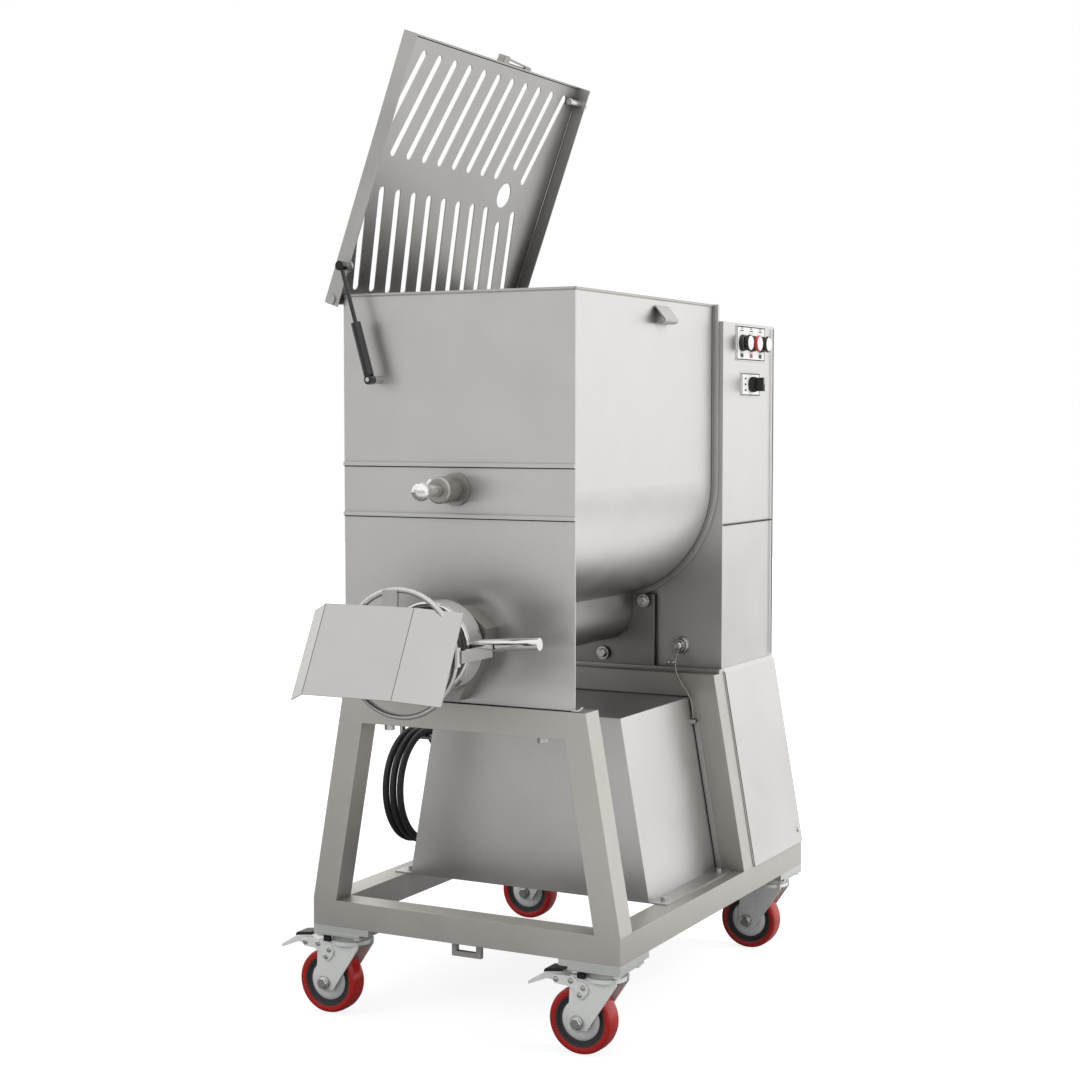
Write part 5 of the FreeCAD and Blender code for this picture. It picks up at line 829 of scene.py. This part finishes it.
low, high = box_mm("front_panel")
side_x = box_mm("hopper_trough")[1].x
hem = bmesh.new()
add_block(hem, (low.x, high.y - HEM_FRONT, high.z - HEM_DEEP),
          (high.x, high.y - HEM_BACK, high.z), HEM_ROUND)
add_block(hem, (side_x - HEM_HALF, high.y - HEM_TURN, high.z - HEM_DEEP),
          (side_x + HEM_HALF, HEM_END, high.z), HEM_ROUND)
finish_piece(hem, "rim_hem", blasted_tube, "chassis")
print("tab, catch and rim done")

# %% [markdown]
# Lid trim
#
# The lid is easiest to think of lying flat: its own axes run from the hinge to the free edge, along the
# hinge, and out of its upper face. The trim is made on the flat lid and then swung up about the hinge
# axis: bright lines where the flanges bend, the fold of the free edge, the latch and the bolt that
# trips the lid switch.

# %% Lid bends, latch and switch bolt
hinge = next(joint for joint in frame["record"]["behaviour"]["joints"] if joint["name"] == "lid_hinge")
PIN_INSET, PIN_DEPTH = 9.5, 11.8
LID_FRONT, LID_BACK, LID_LENGTH = -470, 240, 522
BEND_START, BEND_LOW, BEND_HIGH, BEND_ROUND = 24, -4.4, -2, 1.1
GRIP_LOW, GRIP_HIGH, GRIP_ROUND = (LID_LENGTH - 5, -98, -1.8), (LID_LENGTH + 14, -74, 14), 1.2
STRAP = [(LID_LENGTH + 8, -78), (LID_LENGTH + 11, -78), (LID_LENGTH + 6, 21), (LID_LENGTH + 2.5, 21)]
STRAP_LOW, STRAP_HIGH = 1, 11
SWITCH_BOLT = [(AXIS, -46), (6.4, -46), (7.2, -45), (7.2, 17), (8.6, 17.4), (8.6, 24), (7.6, 25.4),
               (AXIS, 25.4)]
SWITCH_PLACE = Vector((LID_LENGTH - 34, LID_BACK, -13)) * MM
swing = Matrix.Rotation(-math.radians(hinge["range_deg"][1]), 4, "Y")
corner_of_lid = Matrix.Translation(Vector((-PIN_INSET, 0, PIN_DEPTH)) * MM)
flat_lid = Matrix.Translation(hinge["pos_m"]) @ swing @ corner_of_lid


def finish_on_lid(mesh, name, material):
    """Swing a piece that was made on the flat lid up to the open lid."""
    bmesh.ops.transform(mesh, matrix=flat_lid, verts=mesh.verts)
    return finish_piece(mesh, name, material, "lid")


bends = bmesh.new()
add_block(bends, (BEND_START, LID_FRONT + 2, BEND_LOW),
          (LID_LENGTH - 4, LID_FRONT + 4.4, BEND_HIGH), BEND_ROUND)
add_block(bends, (BEND_START, LID_BACK - 4.4, BEND_LOW),
          (LID_LENGTH - 52, LID_BACK - 2, BEND_HIGH), BEND_ROUND)
finish_on_lid(bends, "lid_bends", polished)
fold = bmesh.new()
add_block(fold, (LID_LENGTH - 5.5, LID_FRONT + 5, -2.4), (LID_LENGTH - 3.5, LID_BACK - 5, -1.8), HAIR)
finish_on_lid(fold, "lid_fold", seam_dark)
grip = bmesh.new()
add_block(grip, GRIP_LOW, GRIP_HIGH, GRIP_ROUND)
add_prism(grip, [(*point, STRAP_LOW) for point in STRAP], [(*point, STRAP_HIGH) for point in STRAP])
finish_on_lid(grip, "latch_grip", cast_steel)
bolt = bmesh.new()
add_turned(bolt, SWITCH_BOLT, SWITCH_PLACE, (0, 1, 0), 48)
bolt = finish_on_lid(bolt, "switch_bolt", polished)
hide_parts("sensor_pin")
print("lid trim done")

# %% [markdown]
# Ring nut and guard
#
# The ring nut is turned and polished, with a rounded outer bead and steps towards its mouth that hold
# rings of light. The guard's ring is bent from polished bar, and two fine dark lines of painted shade
# show where its sloping sheet is bent.

# %% Nut rings, guard ring and painted shade at the guard's bends
NUT_FACE = Vector((MID_X, -557.3, 746)) * MM
NUT_RINGS = [(44.6, -1), (44.6, 1), (50, 1), (51, 2.4), (56, 2.4), (57, 0.8), (62, 0.8), (63, 2.4),
             (68, 2.4), (69, 0.8), (74, 0.8), (75.5, 3.4), (78, 4.4), (81, 4.2), (83, 2.6), (83.8, 0),
             (83.8, -2)]
rings = bmesh.new()
add_turned(rings, NUT_RINGS, NUT_FACE, (0, -1, 0), 128)
finish_piece(rings, "nut_rings", polished, "nut")

GUARD_MIDDLE = Vector((MID_X, -655, 746)) * MM
GUARD_RING, GUARD_BAR, BAR_STEPS = 112, 5.55, 16
bar = []
for step in range(BAR_STEPS):
    angle = 2 * math.pi * step / BAR_STEPS
    bar.append((GUARD_RING + GUARD_BAR * math.cos(angle), GUARD_BAR * math.sin(angle)))
hoop = bmesh.new()
add_turned(hoop, bar, GUARD_MIDDLE, (0, 1, 0), 128)
finish_piece(hoop, "guard_hoop", polished, "guard")

FOLD_TOP, FOLD_DROP = Vector((0, -662.5, 829)), Vector((0, -78, -154))
FOLD_OUT = Vector((0, FOLD_DROP.z, -FOLD_DROP.y)).normalized()
FOLD_PLACES, FOLD_ENDS = (-160, 24), (0.005, 0.995)
FOLD_LINE = ((-0.4, 0.3), (0.4, 0.3), (0.4, -0.5), (-0.4, -0.5))
# Painted shade: thin dark strips along the two bends of the guard's sheet.
guard_bend_shade = bmesh.new()
for x in FOLD_PLACES:
    ring = [FOLD_TOP + Vector((x + dx, 0, 0)) + FOLD_OUT * out for dx, out in FOLD_LINE]
    near, far = [[corner + share * FOLD_DROP for corner in ring] for share in FOLD_ENDS]
    add_prism(guard_bend_shade, near, far)
finish_piece(guard_bend_shade, "guard_bend_shade", seam_dark, "guard", smooth=False)
print("nut rings, guard ring and bends done")

# %% [markdown]
# Caster brakes
#
# Beside each front wheel a riveted link plate joins the brake pedal to its block, a black pad covers the
# pedal, and a small stop stands above. Outlines are drawn from the axle and cut as flat plates.

# %% Brake links, rivets, pads and stops
LINK = [(-48, 84), (-8, 85), (2, 78), (18, 75), (24, 66), (22, 56), (12, 45), (4, 44), (-2, 50), (-4, 60),
        (-20, 66), (-44, 68), (-51, 76)]
LINK_FACE, LINK_THICK = 29, 3
PAD = [(-74, 81), (-37, 86), (-38, 90), (-41, 92), (-70, 88.4), (-73, 86)]
PAD_HALF = 18
RIVETS = ((-42, 76), (-12, 76), (13, 66), (6, 52))
RIVET = [(AXIS, -1), (5, -1), (5, 1.2), (4, 2.4), (AXIS, 2.8)]
STOP_X, STOP_Z = (2, 18), (83, 94.5)
STOP_IN, STOP_OUT, STOP_ROUND = 1, 6, 1.2
for corner in ("front_right", "front_left"):
    axle = 1000 * middle_of("caster_wheel_" + corner)
    links, rivets, pad, stops = bmesh.new(), bmesh.new(), bmesh.new(), bmesh.new()
    for side in (-1, 1):
        face = axle.y + side * LINK_FACE
        across = sorted((face - STOP_IN * side, face + STOP_OUT * side))
        add_block(stops, (axle.x + STOP_X[0], across[0], axle.z + STOP_Z[0]),
                  (axle.x + STOP_X[1], across[1], axle.z + STOP_Z[1]), STOP_ROUND)
        add_plate(links, [(axle.x + x, axle.z + z) for x, z in LINK], face, face + LINK_THICK * side)
        for x, z in RIVETS:
            spot = Vector((axle.x + x, face + LINK_THICK * side, axle.z + z)) * MM
            add_turned(rivets, RIVET, spot, (0, side, 0), 24)
    add_plate(pad, [(axle.x + x, axle.z + z) for x, z in PAD], axle.y - PAD_HALF, axle.y + PAD_HALF)
    finish_piece(pad, "pedal_pad_" + corner, black_plastic, "pedal_" + corner)
    finish_piece(links, "brake_links_" + corner, zinc, "fork_" + corner)
    finish_piece(rivets, "brake_rivets_" + corner, polished, "fork_" + corner)
    finish_piece(stops, "swivel_stops_" + corner, black_plastic, "fork_" + corner)
print("two brakes done")

# %% [markdown]
# Push buttons
#
# Three push buttons stand in black collars on a printed plate, each with a broad head and a white face.
# The printed bars above and below them are raised by a hair, as thick ink is. The stop button and the
# bar below it are red.

# %% Button heads, collars and their marks
HEAD_BACK = 4.6
PLATE_THICK, INK = 2, 0.2
COLLAR = [(12.7, 0), (17.4, 0), (17.4, 2), (16.8, 3), (16.8, 8.4), (16, 9.4), (12.7, 9.4)]
HEAD = [(AXIS, 0), (10, 0), (16.6, 1.4), (17.2, 2.6), (17.2, 5.4), (16.2, 6.6), (14.8, 6.6), (14.8, 6),
        (AXIS, 6)]
FACE = [(AXIS, 5.8), (14.7, 5.8), (14.7, 7), (13.6, 7.8), (AXIS, 8.4)]
BAR_BELOW, BAR_HALF = (-30, -22), 8
ROWS_ABOVE, ROW_WIDTH = ((25, 9), (30, 6)), 2
print_x = box_mm("button_plate")[0].x + PLATE_THICK


def add_mark(mesh, y, z):
    """Add a printed bar on a plate that faces +X, between two places in y and two in z."""
    add_block(mesh, (print_x, y[0], z[0]), (print_x + INK, y[1], z[1]), HAIR)


collars, ink, red_ink = bmesh.new(), bmesh.new(), bmesh.new()
for name in ("start", "stop", "reverse"):
    middle = middle_of("button_" + name)
    add_turned(collars, COLLAR, Vector((print_x * MM, middle.y, middle.z)), (1, 0, 0), 64)
    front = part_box("button_" + name)[1].x
    back = Vector((front - HEAD_BACK * MM, middle.y, middle.z))
    head, face = bmesh.new(), bmesh.new()
    add_turned(head, HEAD, back, (1, 0, 0), 64)
    add_turned(face, FACE, back, (1, 0, 0), 48)
    cap, mark = (red_plastic, red_ink) if name == "stop" else (black_plastic, ink)
    finish_piece(head, "cap_head_" + name, cap, name + "_cap")
    finish_piece(face, "cap_face_" + name, white_plastic, name + "_cap")
    y, z = 1000 * middle.y, 1000 * middle.z
    add_mark(mark, (y - BAR_HALF, y + BAR_HALF), (z + BAR_BELOW[0], z + BAR_BELOW[1]))
    for row, half in ROWS_ABOVE:
        add_mark(ink, (y - half, y + half), (z + row, z + row + ROW_WIDTH))
print("three buttons done")

# %% [markdown]
# Selector and printed frames
#
# A ribbed selector knob below the buttons turns through a quarter, with a white pointer on its end. Both
# plates have a printed frame, and three bars stand beside the knob.

# %% Knob ribs, pointer and printed frames
KNOB_RIBS, KNOB_RADIUS, RIB_START = 18, 14.6, 2 * MM
RIB = [(AXIS, 0), (1.8, 0), (1.8, 7), (1.2, 8), (AXIS, 8)]
BORDER_INSET, BORDER_WIDTH = 1.5, 2.4
TICK_Y, TICK_HALF, TICK_STEP = (-34, -26), 2, 12
POINTER_X, POINTER_HALF, POINTER_LONG, POINTER_ROUND = (-0.6, 0.3), 1.2, 13, 0.2


def add_border(mesh, plate):
    """Add a printed line round a plate that faces +X."""
    low, high = box_mm(plate)
    left, right = low.y + BORDER_INSET, high.y - BORDER_INSET
    bottom, top = low.z + BORDER_INSET, high.z - BORDER_INSET
    add_mark(mesh, (left, right), (bottom, bottom + BORDER_WIDTH))
    add_mark(mesh, (left, right), (top - BORDER_WIDTH, top))
    add_mark(mesh, (left, left + BORDER_WIDTH), (bottom, top))
    add_mark(mesh, (right - BORDER_WIDTH, right), (bottom, top))


add_border(ink, "button_plate")
add_border(ink, "selector_plate")
selector = 1000 * middle_of("selector_plate")
for step in (-1, 0, 1):
    z = selector.z + step * TICK_STEP
    add_mark(ink, (selector.y + TICK_Y[0], selector.y + TICK_Y[1]), (z - TICK_HALF, z + TICK_HALF))
knob = middle_of("selector_knob")
rib_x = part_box("selector_knob")[0].x + RIB_START
ribs = bmesh.new()
for step in range(KNOB_RIBS):
    angle = 2 * math.pi * step / KNOB_RIBS
    spot = knob + Vector((0, math.cos(angle), math.sin(angle))) * KNOB_RADIUS * MM
    add_turned(ribs, RIB, Vector((rib_x, spot.y, spot.z)), (1, 0, 0), 12)
finish_piece(ribs, "knob_ribs", black_plastic, "selector")
grip_end, grip_y, grip_z = box_mm("selector_knob")[1].x, 1000 * knob.y, 1000 * knob.z
pointer = bmesh.new()
add_block(pointer, (grip_end + POINTER_X[0], grip_y - POINTER_HALF, grip_z),
          (grip_end + POINTER_X[1], grip_y + POINTER_HALF, grip_z + POINTER_LONG), POINTER_ROUND)
finish_piece(pointer, "knob_pointer", white_plastic, "selector")
finish_piece(collars, "button_collars", black_plastic, "chassis")
finish_piece(ink, "plate_print", black_plastic, "chassis", smooth=False)
finish_piece(red_ink, "plate_print_red", red_plastic, "chassis", smooth=False)
print("selector and", KNOB_RIBS, "ribs done")

# %% [markdown]
# Bead chain
#
# The drain plug is held by a bead chain. Real bead chain is hollow balls on short wires, so balls are
# set along the smooth line of the chain, one ball's pitch apart, with a thin wire through them.

# %% Chain of beads
BEAD_RADIUS = 2.2 * MM
BEAD_PITCH = 5.0 * MM
WIRE_RADIUS = 0.5 * MM
CHAIN_TOP = Vector((164, 159, 678.7))
CHAIN_FOOT = Vector((217.5, 115, 541.3))
FROM_TOP = ((0, 0, 0), (0.5, -7, -13), (4, -27, -28), (18, -42, -55))
FROM_FOOT = ((-11, 0.5, 54), (-1, 1, 26), (0, 0, 0))
chain_route = [(CHAIN_TOP + Vector(step)) * MM for step in FROM_TOP]
chain_route += [(CHAIN_FOOT + Vector(step)) * MM for step in FROM_FOOT]
wire = smooth_line("chain_wire", chain_route, WIRE_RADIUS)
wire.data.materials.append(nickel)
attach(wire, "chassis")
beads = bmesh.new()
travelled, due = 0.0, 0.0
spots = line_points(wire)
for here, there in zip(spots, spots[1:]):
    step = (there - here).length
    while due <= travelled + step:
        place = Matrix.Translation(here + (there - here) * ((due - travelled) / step))
        bmesh.ops.create_icosphere(beads, subdivisions=2, radius=BEAD_RADIUS, matrix=place)
        due += BEAD_PITCH
    travelled += step
beads = finish_piece(beads, "chain_beads", nickel, "chassis")
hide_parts("bead_chain")
print("chain", round(travelled, 3), "m")

# %% [markdown]
# Drain fitting
#
# The drain plug sits in a polished ring with a rounded cap, and the chain's toggle lies on the ledge
# below. All three are small turned parts.

# %% Drain ring, cap and toggle
DRAIN_RING = [(10, 0), (15.5, 0), (17.4, 1.4), (17.8, 3.2), (17, 5), (15, 5.6), (13, 4.6), (12, 2.6),
              (10, 2)]
DRAIN_CAP = [(AXIS, -2), (7.4, -2), (8.2, 0), (8.2, 3), (7, 4.6), (4, 5.6), (AXIS, 6)]
RING_SINK, CAP_SINK = 4 * MM, 5 * MM
TOGGLE = [(AXIS, -9), (2.6, -9), (3.6, -7.6), (3.6, -4), (2.2, -3), (2.2, 3), (3.6, 4), (3.6, 7.6),
          (2.6, 9), (AXIS, 9)]
TOGGLE_PLACE = Vector((157, 138, 653)) * MM
low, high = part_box("drain_plug")
drain = middle_of("drain_plug")
fitting = bmesh.new()
add_turned(fitting, DRAIN_RING, Vector((drain.x, high.y - RING_SINK, drain.z)), (0, -1, 0), 64)
add_turned(fitting, DRAIN_CAP, Vector((drain.x, low.y + CAP_SINK, drain.z)), (0, -1, 0), 40)
finish_piece(fitting, "drain_fitting", polished, "chassis")
toggle = bmesh.new()
add_turned(toggle, TOGGLE, TOGGLE_PLACE, (1, 0, 0), 32)
finish_piece(toggle, "chain_toggle", polished, "chassis")
print("drain fitting and toggle done")
